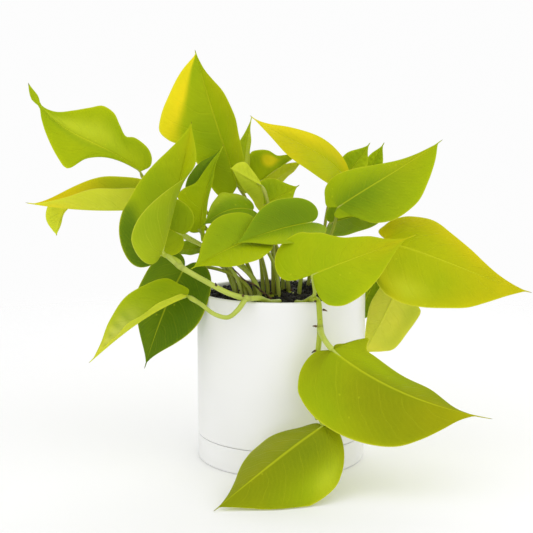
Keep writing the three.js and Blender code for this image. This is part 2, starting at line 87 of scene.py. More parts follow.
class Tone(Enum):
    """The colours of the plant, as linear light. The darkest green is painted shade, for leaf parts that lie
    in shade; a few washes use the pale and the yellow tones as a painted highlight or painted reflection.
    """

    LIME = (0.385, 0.47, 0.003)
    GRASS = (0.22, 0.33, 0.005)
    # Painted shade: the dark green that stands in for leaf parts in shade.
    DEEP = (0.085, 0.165, 0.004)
    YELLOW = (0.90, 0.72, 0.012)
    GOLD = (0.60, 0.51, 0.004)
    OLIVE = (0.26, 0.285, 0.002)
    PALE = (0.70, 0.74, 0.04)
    SAGE = (0.36, 0.45, 0.012)
    STRAW = (0.84, 0.80, 0.09)
    CREAM = (0.60, 0.66, 0.13)
    SHOOT = (0.44, 0.52, 0.06)
    BARK = (0.06, 0.033, 0.012)

    @property
    def rgb(self) -> np.ndarray:
        """The colour as an array."""
        return np.array(self.value)


class Side(Enum):
    """The two faces of a leaf."""

    UPPER = 1
    UNDER = -1


@dataclass(frozen=True)
class Wash:
    """A soft patch of another tone on a leaf: mostly the leaf's own colour, but some are painted shade, a
    painted highlight or a painted reflection.

    Attributes:
        tone: Its tone.
        across: Its middle, from -1 at the left margin to 1 at the right one.
        along: Its middle, from 0 at the base to 1 at the tip.
        reach: How far it reaches from there, across and along.
        strength: How much of the tone shows in its middle.
        side: The face that it lies on.
        crisp: How sharp its edge is, 1 for softest.
    """

    tone: Tone
    across: float
    along: float
    reach: Pair
    strength: float = 0.8
    side: Side = Side.UPPER
    crisp: float = 1.0

    def weight(self, across: np.ndarray, along: np.ndarray) -> np.ndarray:
        """How much of the tone shows at each place.

        Args:
            across: Place between the margins.
            along: Place between base and tip.

        Returns:
            A share from 0 to 1.
        """
        spread = ((across - self.across) / self.reach[0]) ** 2 + ((along - self.along) / self.reach[1]) ** 2
        return self.strength * np.clip((np.exp(-spread) - 0.5) * self.crisp + 0.5, 0, 1)


@dataclass(frozen=True)
class Blade:
    """One leaf's shape and colours.

    Angles are in degrees. Pairs are (left, right), seen from the base towards the tip with the upper face on
    top, unless the field says otherwise.

    Attributes:
        name: The leaf's solid in the frame.
        base: Where the stalk meets the blade.
        tip: The end of the drip tip.
        width: Full width.
        face: The way that the upper face looks.
        bend: Rise of the midrib above the chord, at base and at tip.
        sway: The same towards the left.
        fold: Rise of each half at the base.
        tip_fold: Rise of each half at the tip, or None to keep the base's.
        ease: How fast the fold at the base gives way to the one at the tip, 1 for evenly.
        curl: Further turn of each half between midrib and margin.
        tip_curl: The same at the tip, or None to keep curl there.
        lobe: Reach of each lobe behind the base, in blade lengths.
        share: Width of each half, in half widths.
        belly: Where each half is widest, in blade lengths.
        point: Fullness of each half before the tip.
        left: Points of the left half's own outline, from base to tip, as (blade lengths along, half widths
            out). Where it is empty, lobe, belly and point shape the half.
        right: The same for the right half.
        drip: Length of the fine drip tip, in blade lengths.
        ripple: Height of the margin's waves.
        waves: Number of waves along each margin.
        upper: Tone of the upper face.
        under: Tone of the under face.
        washes: Patches of other tones, some of them painted shade, painted highlight or painted reflection.
    """

    name: str
    base: Place
    tip: Place
    width: float
    face: Place
    bend: Pair = (10, 10)
    sway: Pair = (0, 0)
    fold: Pair = (10, 10)
    tip_fold: Pair | None = None
    ease: float = 1
    curl: Pair = (0, 0)
    tip_curl: Pair | None = None
    lobe: Pair = (0.1, 0.1)
    share: Pair = (1, 1)
    belly: Pair = (0.3, 0.3)
    point: Pair = (0.2, 0.2)
    left: tuple[Pair, ...] = ()
    right: tuple[Pair, ...] = ()
    drip: float = 0.05
    ripple: float = 0.5
    waves: float = 2.3
    upper: Tone = Tone.LIME
    under: Tone = Tone.PALE
    washes: tuple[Wash, ...] = ()


@dataclass(frozen=True)
class Stalk:
    """A leaf stalk.

    Attributes:
        leaf: The leaf that it carries.
        start: Where it leaves its vine.
        via: Points that it passes.
        arrive: Its last direction, as shares along the midrib and up from the blade.
        girth: Radius at its foot and at its middle.
        tone: Colour.
    """

    leaf: str
    start: Place
    via: tuple[Place, ...] = ()
    arrive: Pair = (0.55, 0.85)
    girth: Pair = (1.65, 1.3)
    tone: Tone = Tone.OLIVE


@dataclass(frozen=True)
class Stem:
    """A vine with its leaf stalks, its side stub and its brown root nubs.

    Attributes:
        name: The stem's solid in the frame.
        vine: The points that the vine runs through.
        stalks: Its leaf stalks.
        stub: The points of a short side shoot, if it has one.
        nubs: Places of the root nubs, each with the way that it points.
        tone: Colour of the vine.
    """

    name: str
    vine: tuple[Place, ...]
    stalks: tuple[Stalk, ...]
    stub: tuple[Place, ...] = ()
    nubs: tuple[tuple[Place, Place], ...] = ()
    tone: Tone = Tone.LIME


# Heights from the rim: where the vines leave the soil, and where they cross over the rim.
CROWN = -4.3
OVER_RIM = 2.7

TWIG: tuple[Place, ...] = ((-5, -22, -7), (-14, -30, 3), (-22, -38, 10), (-31, -45, 17), (-36, -48, 24))

STEMS: tuple[Stem, ...] = (
    Stem(
        "vine_trailing",
        vine=(
            (10, -34, CROWN), (16, -50, -2), (22, -60, OVER_RIM), (25.5, -67.5, 1.5), (26.5, -68.5, -8),
            (27, -68, -18), (26, -69, -29), (24, -72, -46), (23, -79, -66), (24, -88, -79),
        ),
        stub=((24, -86, -76), (30, -83, -80), (35, -79, -87), (37, -77, -94)),
        stalks=(
            Stalk("leaf_heart", (22, -60, OVER_RIM), ((23, -67, 8), (22, -73, 15)), tone=Tone.SHOOT),
            Stalk(
                "leaf_trailing_right", (27, -68, -18), ((28, -76, -21), (31, -83, -25.5)), (1, 0),
                girth=(2.5, 2.0), tone=Tone.SHOOT,
            ),
            Stalk("leaf_trailing_table", (23, -85, -74), ((25, -91, -76),), (1, -0.6), tone=Tone.LIME),
        ),
        nubs=(
            ((23.5, -68.5, 2.0), (-0.3, -1.0, 0.3)), ((24.2, -69, -16.0), (-1.0, -0.5, 0.4)),
            ((28.8, -69, -4.0), (1.0, -0.5, 0.0)), ((23.6, -72, -33.0), (-1.0, -0.6, -0.2)),
        ),
        tone=Tone.LIME,
    ),
    Stem(
        "vine_left",
        vine=(
            (0, -30, CROWN), (-9, -46, -2.2), (-17, -59, OVER_RIM), (-26, -67, 3.8), (-39, -68, 8),
            (-55, -65, 16), (-73, -61, 26), (-83, -58, 34),
        ),
        stalks=(
            Stalk("leaf_tall_front", (-73, -61, 26), girth=(2.1, 1.75), tone=Tone.LIME),
            Stalk(
                "leaf_left_low", (-26, -67, 3.8),
                ((-32, -73, -4), (-38.5, -74, -8.6), (-48, -72, -6.8), (-58, -64, -1)),
                girth=(2.0, 1.6), tone=Tone.SHOOT,
            ),
        ),
        nubs=(((-47, -68, 13), (-0.2, -0.4, 1.0)), ((-28, -69, 6), (0.2, -1.0, 0.4))),
        tone=Tone.SHOOT,
    ),
    Stem(
        "stems_left",
        vine=((-34, -22, CROWN), (-22, -27, CROWN), (-8, -28, CROWN)),
        stalks=(
            Stalk("leaf_far_left", (-34, -22, CROWN)),
            Stalk("leaf_left_folded", (-30, -24, CROWN), tone=Tone.SHOOT),
            Stalk(
                "leaf_left_pale", (-32, -23, CROWN), ((-60, 2, 50), (-110, 16, 82), (-142, 10, 83)),
                (0.5, -0.85),
            ),
            Stalk("leaf_behind_tall", (-16, -28, CROWN), tone=Tone.SHOOT),
            Stalk("leaf_left_shade", (-22, -27, CROWN), tone=Tone.OLIVE),
            Stalk("leaf_grey_small", (-26, -25, CROWN), tone=Tone.OLIVE),
        ),
        nubs=(((-31, -24, 3), (-0.6, -1.0, 0.4)), ((-20, -30, -1), (0.2, -1.0, 0.6))),
    ),
    Stem(
        "stems_centre_left",
        vine=((-20, -6, CROWN), (-10, -10, CROWN), (0, -14, CROWN)),
        stalks=(
            Stalk("leaf_top", (-14, -8, CROWN)),
            Stalk("leaf_dark_small", (-20, -6, CROWN), tone=Tone.OLIVE),
            Stalk("leaf_bright_small", (-17, -7, CROWN), tone=Tone.SHOOT),
            Stalk("leaf_trumpet", (-6, -11, CROWN)),
            Stalk("leaf_centre_arch", (-10, -10, CROWN), tone=Tone.OLIVE),
            Stalk("leaf_centre_front", (-2, -13, CROWN), tone=Tone.SHOOT),
        ),
        nubs=(((-8, -12, -1), (0.4, -1.0, 0.6)),),
    ),
    Stem(
        "stems_centre",
        vine=((-6, 14, CROWN), (4, 8, CROWN), (14, -2, CROWN)),
        stalks=(
            Stalk("leaf_top_sliver", (-6, 14, CROWN), tone=Tone.OLIVE),
            Stalk("leaf_curled", (2, 9, CROWN)),
            Stalk("leaf_curled_back", (-2, 12, CROWN), tone=Tone.OLIVE),
            Stalk("leaf_mid_right", (6, 6, CROWN), tone=Tone.OLIVE),
            Stalk("leaf_centre_dark", (14, -2, CROWN), tone=Tone.SHOOT),
        ),
        nubs=(((8, 3, -1), (0.2, -1.0, 0.8)),),
    ),
    Stem(
        "stems_right",
        vine=((26, -16, CROWN), (31, -6, CROWN), (34, 4, CROWN)),
        stalks=(
            Stalk("leaf_yellow", (32, -2, CROWN), tone=Tone.OLIVE),
            Stalk("leaf_right_high", (28, -12, CROWN)),
            Stalk("leaf_right_under", (34, 4, CROWN), tone=Tone.OLIVE),
            Stalk("leaf_right_low", (30, -8, CROWN), tone=Tone.SHOOT),
        ),
        nubs=(((27, -17, -1), (0.0, -1.0, 0.6)),),
    ),
    Stem(
        "stems_back",
        vine=((20, 24, CROWN), (30, 27, CROWN), (38, 28, CROWN)),
        stalks=(
            Stalk("leaf_back_small", (22, 25, CROWN), tone=Tone.OLIVE),
            Stalk("leaf_back_sliver", (28, 26, CROWN), tone=Tone.OLIVE),
            Stalk("leaf_back_pale", (38, 28, CROWN)),
            Stalk("leaf_back_green", (34, 27.5, CROWN), tone=Tone.OLIVE),
        ),
    ),
)


BLADES: tuple[Blade, ...] = (
    Blade(
        "leaf_far_left", base=(-108, 2, 91), tip=(-189, -12, 158), width=58, face=(0, -0.85, 0.5),
        sway=(-6, 33), bend=(0, -12), fold=(0, 10), curl=(0, 12), drip=0.0, ripple=0.5,
        left=(
            (0.15, 0.1), (0.26, 0.2), (0.38, 0.45), (0.48, 0.94), (0.55, 0.8), (0.69, 0.42), (0.77, 0.2),
            (0.84, 0.04), (0.9, 0.1),
        ),
        right=(
            (-0.02, 0.34), (0.07, 0.62), (0.16, 0.64), (0.21, 0.55), (0.28, 0.74), (0.36, 0.97), (0.43, 1),
            (0.52, 0.8), (0.63, 0.5), (0.75, 0.16), (0.84, 0.04), (0.9, 0.1),
        ),
        washes=(
            Wash(Tone.PALE, 0.3, 0.5, (0.3, 0.3), 0.6),
            Wash(Tone.GRASS, -0.12, 0.6, (0.1, 0.4), 0.4),
            Wash(Tone.GRASS, 0.9, 0.0, (0.5, 0.2), 0.4),
        ),
    ),
    Blade(
        "leaf_left_folded", base=(-100, -5, 64), tip=(-192, -20, 69), width=52, face=(0, 0, 1),
        bend=(-8, -8), fold=(40, 80), curl=(5, -8), upper=Tone.GOLD, under=Tone.PALE, ripple=0.7,
        washes=(
            Wash(Tone.GRASS, 0.6, 0.1, (1.0, 0.4), 0.7),
            Wash(Tone.YELLOW, 0.0, 0.8, (0.8, 0.35), 0.9),
            Wash(Tone.YELLOW, 0.0, 0.85, (0.6, 0.2), 0.7, Side.UNDER),
        ),
    ),
    Blade(
        "leaf_left_pale", base=(-155, 4, 72), tip=(-173, 0, 42), width=28, face=(-0.3, 0.8, 0.5),
        bend=(20, 10), sway=(28, 28), share=(1.1, 0.5), drip=0.02, upper=Tone.GRASS, under=Tone.PALE,
        left=((0.1, 0.3), (0.25, 0.6), (0.44, 0.82), (0.7, 0.7), (0.9, 0.27)),
        right=((0.05, 0.3), (0.17, 0.35), (0.53, 0.32), (0.8, 0.4)),
        washes=(Wash(Tone.YELLOW, 0.2, 0.2, (0.4, 0.4), 0.4, Side.UNDER),),
    ),
    Blade(
        "leaf_tall_front", base=(-86, -58, 36), tip=(-65, -45, 129), width=72, face=(-0.2, -0.95, 0.1),
        bend=(-8, -12), fold=(8, 95), tip_fold=(20, 20), curl=(-12, 75), tip_curl=(0, 5),
        lobe=(0.14, 0.12), drip=0.02, under=Tone.SAGE,
        left=(
            (-0.08, 0.06), (-0.14, 0.25), (-0.15, 0.45), (-0.1, 0.68), (0.01, 0.9), (0.11, 0.99), (0.23, 1),
            (0.33, 0.92), (0.48, 0.79), (0.64, 0.58), (0.78, 0.34), (0.89, 0.15),
        ),
        washes=(
            # Painted shade: the dark green over the left lobe, where this leaf lies in shade.
            Wash(Tone.DEEP, -0.95, -0.06, (0.5, 0.4), 1.0, crisp=4),
            Wash(Tone.GRASS, -0.5, 0.3, (0.6, 0.35), 0.45),
            Wash(Tone.GOLD, 0.3, 0.9, (0.8, 0.25), 0.35),
        ),
    ),
    Blade(
        "leaf_behind_tall", base=(-75, -30, 46), tip=(-114, -28, 63), width=46, face=(0, -0.9, 0.3),
        fold=(15, 15), curl=(10, 10), lobe=(0.12, 0.12),
        washes=(Wash(Tone.GRASS, 0.3, 0.4, (0.8, 0.6), 0.6),),
    ),
    Blade(
        "leaf_top", base=(-34, 24, 79), tip=(-67, 26, 185), width=66, face=(-0.25, -0.95, 0.1),
        bend=(5, 10), fold=(10, 35), curl=(0, 10), share=(1.36, 0.8), drip=0.03, ripple=0.5,
        left=(
            (-0.05, 0.18), (-0.02, 0.38), (0.1, 0.48), (0.27, 0.57), (0.4, 0.74), (0.46, 0.9),
            (0.54, 1), (0.64, 0.9),
            (0.78, 0.64), (0.9, 0.36),
        ),
        right=(
            (-0.06, 0.2), (-0.03, 0.45), (0.08, 0.6), (0.15, 0.68), (0.26, 0.76), (0.35, 0.85),
            (0.47, 1), (0.63, 0.81),
            (0.78, 0.42), (0.88, 0.17),
        ),
        washes=(
            Wash(Tone.YELLOW, -1.0, 0.8, (0.58, 0.5), 1.0, crisp=5),
            Wash(Tone.GRASS, -0.25, 0.3, (0.25, 0.4), 0.5),
            Wash(Tone.GOLD, 0.8, 0.55, (0.4, 0.5), 0.25),
        ),
    ),
    Blade(
        "leaf_top_sliver", base=(-30, 40, 85), tip=(-23, 38, 134), width=22, face=(-0.8, -0.5, 0),
        bend=(5, 5), upper=Tone.LIME,
        washes=(Wash(Tone.PALE, 0.5, 0.5, (0.6, 0.6), 0.5),),
    ),
    Blade(
        "leaf_dark_small", base=(-69, 14, 77), tip=(-47, 16, 108), width=17, face=(-0.5, -0.7, 0.4),
        # Painted shade: the upper face is given the dark green because it lies in shade.
        bend=(5, 5), fold=(25, 10), upper=Tone.DEEP, under=Tone.GRASS,
        washes=(Wash(Tone.GRASS, -0.7, 0.7, (0.4, 0.5), 0.6),),
    ),
    Blade(
        "leaf_bright_small", base=(-62, -2, 45), tip=(-44, 2, 112), width=40, face=(-0.3, -0.9, 0.2),
        bend=(5, 5), sway=(12, 12), fold=(15, 30), share=(1.05, 0.3),
        left=(
            (-0.01, 0.3), (0.02, 0.45), (0.15, 0.52), (0.27, 0.82), (0.35, 1), (0.42, 0.86), (0.54, 0.42),
            (0.69, 0.27), (0.83, 0.15),
        ),
        washes=(Wash(Tone.GRASS, 0.6, 0.5, (0.4, 0.5), 0.5), Wash(Tone.GRASS, -0.3, 0.85, (1.0, 0.2), 0.5)),
    ),
    Blade(
        "leaf_trumpet", base=(-15, -9, 81), tip=(-39, -13, 95), width=50, face=(0.2, 0.95, 0.2),
        bend=(10, 5), share=(0.3, 1.3), under=Tone.PALE,
        left=((0.1, 0.3), (0.39, 0.78), (0.72, 1.2), (0.92, 0.75)),
        right=(
            (-0.16, 0.17), (-0.31, 0.37), (-0.39, 0.6), (-0.2, 0.56), (-0.02, 0.46), (0.3, 0.35),
            (0.66, 0.18),
        ),
        washes=(
            Wash(Tone.PALE, 0.15, 0.2, (0.3, 0.6), 0.5, Side.UNDER),
            Wash(Tone.GRASS, 0.8, 0.2, (0.4, 0.6), 0.3, Side.UNDER),
        ),
    ),
    Blade(
        "leaf_curled", base=(-16, 27, 83), tip=(18, 25, 106), width=44, face=(-0.2, -0.9, 0.5),
        bend=(5, 10), fold=(10, 60), curl=(20, 0), share=(1.05, 0.4), upper=Tone.LIME,
        left=(
            (-0.08, 0.4), (0.02, 0.8), (0.17, 1), (0.32, 0.9), (0.46, 0.7), (0.56, 0.38),
            (0.7, 0.25), (0.84, 0.14),
        ),
        washes=(
            # Painted highlight: the yellow patch where the rolled half catches the light.
            Wash(Tone.YELLOW, -0.5, 0.36, (0.32, 0.17), 1.0, crisp=2),
            Wash(Tone.GRASS, -0.2, 0.6, (0.2, 0.12), 0.5),
            Wash(Tone.GRASS, -0.7, 0.1, (0.4, 0.3), 0.4),
        ),
    ),
    Blade(
        "leaf_curled_back", base=(-10, 35, 80), tip=(20, 35, 99), width=18, face=(0.2, 0.6, 0.8),
        bend=(5, 10), upper=Tone.LIME, under=Tone.PALE,
        washes=(Wash(Tone.PALE, 0.0, 0.5, (0.8, 0.4), 0.5, Side.UNDER),),
    ),
    Blade(
        "leaf_mid_right", base=(-15, 8, 64), tip=(14, 4, 81), width=36, face=(0, -0.8, 0.5),
        bend=(10, -15), lobe=(0.03, 0.03), upper=Tone.LIME,
        washes=(Wash(Tone.GRASS, -0.6, 0.2, (0.5, 0.5), 0.5),),
    ),
    Blade(
        "leaf_yellow", base=(49, 32, 88), tip=(-24, 4, 134), width=44, face=(-0.3, -0.6, 0.8),
        bend=(22, -8), fold=(0, 10), curl=(-10, 20), share=(1.1, 0.65), upper=Tone.GOLD,
        under=Tone.STRAW, drip=0.03,
        washes=(
            Wash(Tone.YELLOW, 0.0, 0.95, (1.5, 0.3), 0.85),
            Wash(Tone.LIME, -0.4, 0.1, (1.0, 0.4), 0.8),
            Wash(Tone.YELLOW, 0.8, 0.5, (0.4, 0.5), 0.6),
        ),
    ),
    Blade(
        "leaf_back_small", base=(53, 50, 84), tip=(72, 45, 113), width=26, face=(-0.3, -0.8, 0.5),
        bend=(5, -10), upper=Tone.LIME,
        washes=(Wash(Tone.GRASS, -0.4, 0.3, (0.5, 0.6), 0.6),),
    ),
    Blade(
        "leaf_back_sliver", base=(70, 55, 84), tip=(84, 50, 113), width=16, face=(0.3, -0.8, 0.5),
        bend=(5, -10), upper=Tone.LIME,
        washes=(Wash(Tone.GRASS, 0.4, 0.3, (0.5, 0.6), 0.6),),
    ),
    Blade(
        "leaf_right_high", base=(43, -12, 65), tip=(119, -25, 116), width=60, face=(-0.2, -0.75, 0.65),
        bend=(3, -6), fold=(-5, -15), share=(0.95, 1.1),
        left=(
            (-0.08, 0.22), (-0.07, 0.54), (-0.01, 0.9), (0.08, 1), (0.25, 0.87), (0.47, 0.5), (0.63, 0.28),
            (0.8, 0.12),
        ),
        right=(
            (-0.06, 0.08), (-0.05, 0.22), (0.05, 0.36), (0.12, 0.6), (0.21, 0.84), (0.37, 1), (0.57, 0.94),
            (0.75, 0.66), (0.9, 0.33),
        ),
        washes=(
            Wash(Tone.GRASS, 0.1, 0.25, (0.6, 0.4), 1.0),
            # Painted shade: the dark green near the base.
            Wash(Tone.DEEP, 0.1, 0.1, (0.5, 0.2), 0.35),
            Wash(Tone.GRASS, 0.9, 0.1, (0.5, 0.3), 0.5),
            Wash(Tone.GOLD, -0.3, 0.8, (0.7, 0.3), 0.3),
        ),
    ),
    Blade(
        "leaf_right_under", base=(41, 15, 51), tip=(97, 0, 64), width=44, face=(0, -0.7, 0.8),
        bend=(10, 5), upper=Tone.GRASS,
        washes=(Wash(Tone.LIME, 0.5, 0.7, (0.5, 0.4), 0.5),),
    ),
    Blade(
        "leaf_right_low", base=(82, -15, 38), tip=(186, -35, 3), width=74, face=(0.1, -0.8, 0.6),
        bend=(10, -8), fold=(5, -5), curl=(-20, -20), share=(0.9, 1.15), drip=0.04, upper=Tone.GOLD,
        left=(
            (-0.1, 0.2), (-0.08, 0.43), (-0.03, 0.7), (0.07, 0.93), (0.22, 1), (0.37, 0.83), (0.52, 0.59),
            (0.66, 0.36), (0.79, 0.18), (0.9, 0.07),
        ),
        right=(
            (-0.08, 0.25), (-0.07, 0.5), (0.01, 0.81), (0.11, 0.96), (0.23, 1), (0.36, 0.94), (0.52, 0.8),
            (0.65, 0.66), (0.76, 0.46), (0.89, 0.2),
        ),
        washes=(
            Wash(Tone.LIME, 0.4, 0.25, (0.7, 0.4), 0.8),
            Wash(Tone.LIME, -0.3, 0.2, (0.5, 0.35), 0.6),
            # Painted reflection: the pale glossy band near the base.
            Wash(Tone.PALE, 0.75, 0.15, (0.2, 0.15), 0.45),
            # Painted shade: the dark green on the right lobe's shadowed side.
            Wash(Tone.DEEP, 1.0, -0.12, (0.14, 0.12), 0.9),
        ),
    ),
    Blade(
        "leaf_heart", base=(21, -76, 22), tip=(92, -90, 52), width=60, face=(0, -0.85, 0.45),
        bend=(8, -5), fold=(-5, 5), curl=(0, -10), share=(1.15, 0.98), drip=0.1,
        left=(
            (-0.17, 0.04), (-0.28, 0.16), (-0.33, 0.45), (-0.29, 0.78), (-0.17, 0.97), (-0.01, 1),
            (0.08, 0.9),
            (0.19, 0.8), (0.28, 0.65), (0.39, 0.5), (0.52, 0.42), (0.65, 0.34), (0.81, 0.16),
        ),
        right=(
            (-0.01, 0.2), (-0.01, 0.41), (0.02, 0.73), (0.08, 0.9), (0.19, 1), (0.35, 0.95), (0.6, 0.66),
            (0.79, 0.34), (0.92, 0.1),
        ),
        washes=(
            Wash(Tone.GOLD, -0.1, 0.92, (1.1, 0.4), 0.85),
            Wash(Tone.GRASS, 0.8, 0.0, (0.5, 0.2), 0.3),
        ),
    ),
    Blade(
        "leaf_centre_dark", base=(22, -30, 55), tip=(-36, -55, 41), width=52, face=(0, -0.5, 0.85),
        bend=(8, 5), fold=(5, 35), curl=(0, 10), lobe=(0.1, 0.12), share=(0.9, 0.85), upper=Tone.GRASS,
        under=Tone.LIME,
        washes=(
            Wash(Tone.LIME, -0.7, 0.5, (0.45, 0.5), 0.85),
            # Painted shade: the dark green over the blade's right part.
            Wash(Tone.DEEP, 0.4, 0.3, (0.6, 0.5), 0.55),
        ),
    ),
    Blade(
        "leaf_centre_front", base=(-18, -42, 45), tip=(-66, -62, 24), width=60, face=(0, -0.5, 0.85),
        bend=(10, 5), fold=(5, 35), share=(0.85, 0.82),
        washes=(Wash(Tone.GRASS, 0.5, 0.3, (0.7, 0.6), 0.7),),
    ),
    Blade(
        "leaf_left_low", base=(-69, -50, 3), tip=(-142, -50, -47), width=54, face=(0, -0.3, 0.95),
        bend=(15, 8), fold=(45, 40), curl=(-5, 5), share=(0.5, 0.85), ripple=0.6, waves=3.2,
        left=((0.02, 0.5), (0.08, 1), (0.28, 0.9), (0.54, 0.75), (0.7, 0.45), (0.85, 0.2)),
        right=(
            (-0.03, 0.16), (0.03, 0.5), (0.11, 0.85), (0.22, 0.95), (0.37, 1), (0.51, 0.92), (0.67, 0.68),
            (0.85, 0.28),
        ),
        washes=(
            Wash(Tone.YELLOW, 0.2, 0.8, (0.6, 0.25), 0.6),
            Wash(Tone.STRAW, 0.45, 0.74, (0.4, 0.16), 0.7),
            Wash(Tone.CREAM, 0.35, 0.62, (0.4, 0.2), 0.7),
            Wash(Tone.GRASS, 0.6, 0.1, (0.5, 0.3), 0.4),
            Wash(Tone.PALE, -0.3, 0.4, (0.3, 0.2), 0.4),
            Wash(Tone.GRASS, 0.5, 0.5, (0.3, 0.03), 0.5),
            Wash(Tone.GRASS, 0.55, 0.6, (0.3, 0.03), 0.5),
            Wash(Tone.GRASS, 0.5, 0.7, (0.3, 0.03), 0.45),
            Wash(Tone.GRASS, 0.45, 0.79, (0.3, 0.025), 0.35),
        ),
    ),
    Blade(
        "leaf_left_shade", base=(-73, -22, 20), tip=(-104, -25, -57), width=60, face=(-0.4, -0.9, 0.2),
        # Painted shade: the upper face is given the dark green because the leaf lies in shade under the
        # others.
        bend=(15, 10), fold=(0, 0), curl=(-10, -10), upper=Tone.DEEP, under=Tone.GRASS,
        washes=(Wash(Tone.GRASS, 0.5, 0.3, (0.5, 0.5), 0.5),),
    ),
    Blade(
        "leaf_trailing_right", base=(35, -84, -30), tip=(143, -110, -72.5), width=80,
        face=(0.05, -0.9, 0.4), bend=(10, 8), sway=(-18, -16), fold=(5, -8), tip_fold=(-40, -8), ease=8,
        curl=(5, -10), share=(0.95, 1.2), drip=0.1, upper=Tone.OLIVE,
        left=(
            (-0.01, 0.1), (0.02, 0.22), (0.05, 0.34), (0.08, 0.55), (0.105, 0.7), (0.125, 0.56),
            (0.15, 0.48),
            (0.21, 0.5), (0.41, 0.46), (0.66, 0.4), (0.9, 0.06),
        ),
        right=(
            (-0.03, 0.06), (-0.07, 0.16), (-0.085, 0.3), (-0.075, 0.52), (-0.045, 0.67), (0.01, 0.82),
            (0.12, 0.93), (0.25, 0.95), (0.39, 0.9), (0.57, 0.76), (0.71, 0.54), (0.82, 0.32), (0.92, 0.11),
        ),
        washes=(
            Wash(Tone.LIME, 0.9, 0.05, (0.4, 0.3), 0.7),
            Wash(Tone.LIME, 0.1, 0.05, (0.9, 0.14), 0.5),
            Wash(Tone.GOLD, 0.4, 0.95, (1.0, 0.3), 0.45),
            Wash(Tone.LIME, -0.6, 0.2, (0.5, 0.35), 0.7),
        ),
    ),
    Blade(
        "leaf_trailing_table", base=(28, -96, -81), tip=(-47, -133, -129.6), width=72,
        face=(0, -0.75, 0.65), bend=(12, 5), fold=(-12, -40), curl=(-15, -10), share=(1.1, 1),
        upper=Tone.OLIVE,
        left=(
            (-0.05, 0.1), (-0.07, 0.26), (-0.05, 0.44), (0.01, 0.68), (0.09, 0.86), (0.19, 0.98), (0.33, 1),
            (0.5, 0.93), (0.65, 0.73), (0.77, 0.48), (0.87, 0.27),
        ),
        right=(
            (0.0, 0.25), (0.08, 0.45), (0.18, 0.72), (0.32, 1), (0.45, 0.96), (0.58, 0.8), (0.69, 0.6),
            (0.8, 0.32), (0.91, 0.1),
        ),
        washes=(
            Wash(Tone.LIME, -0.85, 0.25, (0.4, 0.35), 0.75),
            # Painted shade: the dark green patch left of the midrib near the base.
            Wash(Tone.DEEP, -0.15, 0.2, (0.25, 0.2), 0.25),
            Wash(Tone.PALE, -0.8, 0.15, (0.2, 0.14), 0.4),
        ),
    ),
    Blade(
        "leaf_back_pale", base=(94, 25, -1), tip=(69, 40, -58), width=50, face=(0.4, 0.9, 0.1),
        bend=(15, 15), share=(0.6, 1), under=Tone.STRAW, drip=0.0,
        left=((0.05, 0.5), (0.15, 0.93), (0.45, 1), (0.76, 0.55)),
        right=(
            (0.02, 0.1), (0.09, 0.4), (0.2, 1.0), (0.33, 0.99), (0.5, 0.93), (0.77, 0.8),
            (0.88, 0.5), (0.95, 0.2),
        ),
        washes=(Wash(Tone.SAGE, 0.8, 0.3, (0.3, 0.6), 0.4, Side.UNDER),),
    ),
    Blade(
        "leaf_back_green", base=(81, 45, 10), tip=(58, 58, -41), width=36, face=(0.2, -0.9, 0.2),
        bend=(15, 15), upper=Tone.GRASS,
        washes=(Wash(Tone.SAGE, 0.0, 0.4, (0.6, 0.5), 0.4),),
    ),
    Blade(
        "leaf_grey_small", base=(-61, 0, 32), tip=(-88, -3, 27), width=16, face=(-0.1, -0.6, 0.7),
        bend=(25, 20), lobe=(0.05, 0.05), upper=Tone.GRASS,
        washes=(Wash(Tone.SAGE, 0.0, 0.5, (0.7, 0.4), 0.8),),
    ),
    Blade(
        "leaf_centre_arch", base=(-22, -14, 63), tip=(-60, -24, 51), width=44, face=(0, -0.7, 0.7),
        bend=(42, 38), curl=(0, -40), upper=Tone.GRASS, under=Tone.SAGE,
        # Painted highlight on the arch's top rim, in the pale patch, and painted shade over its body, in the
        # dark green patch.
        washes=(Wash(Tone.PALE, 0.8, 0.3, (0.3, 0.5), 0.5), Wash(Tone.DEEP, -0.5, 0.7, (0.8, 0.5), 0.4)),
    ),
)
def unit(vectors: np.ndarray) -> np.ndarray:
    """The vectors with their lengths made one."""
    return vectors / np.linalg.norm(vectors, axis=-1, keepdims=True)


def in_foliage(place: Place) -> np.ndarray:
    """The point of a place in the foliage, in millimetres from the frame's origin."""
    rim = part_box("pot")[1].z / MM
    return np.array([place[0], place[1], rim + place[2]], float)


def smooth_step(low: float, high: float, value: np.ndarray) -> np.ndarray:
    """A smooth rise from 0 at low to 1 at high."""
    share = np.clip((value - low) / (high - low), 0, 1)
    return share * share * (3 - 2 * share)


def bell(value: np.ndarray, reach: float, centre: float = 0.0) -> np.ndarray:
    """A soft bump: 1 at the centre, and fading over the reach."""
    return np.exp(-(((value - centre) / reach) ** 2))


def towards(colours: np.ndarray, tone: Tone, share: np.ndarray) -> np.ndarray:
    """The colours, moved by a share of the way towards the tone at each place."""
    share = share[..., None]
    return colours * (1 - share) + tone.rgb * share


def bezier(handles: np.ndarray, t: np.ndarray) -> np.ndarray:
    """Points of a cubic curve.

    Args:
        handles: Its four handles.
        t: Shares of the way, with one last axis of length 1.

    Returns:
        The points.
    """
    a, b, c, d = handles
    return (1 - t) ** 3 * a + 3 * (1 - t) ** 2 * t * b + 3 * (1 - t) * t**2 * c + t**3 * d


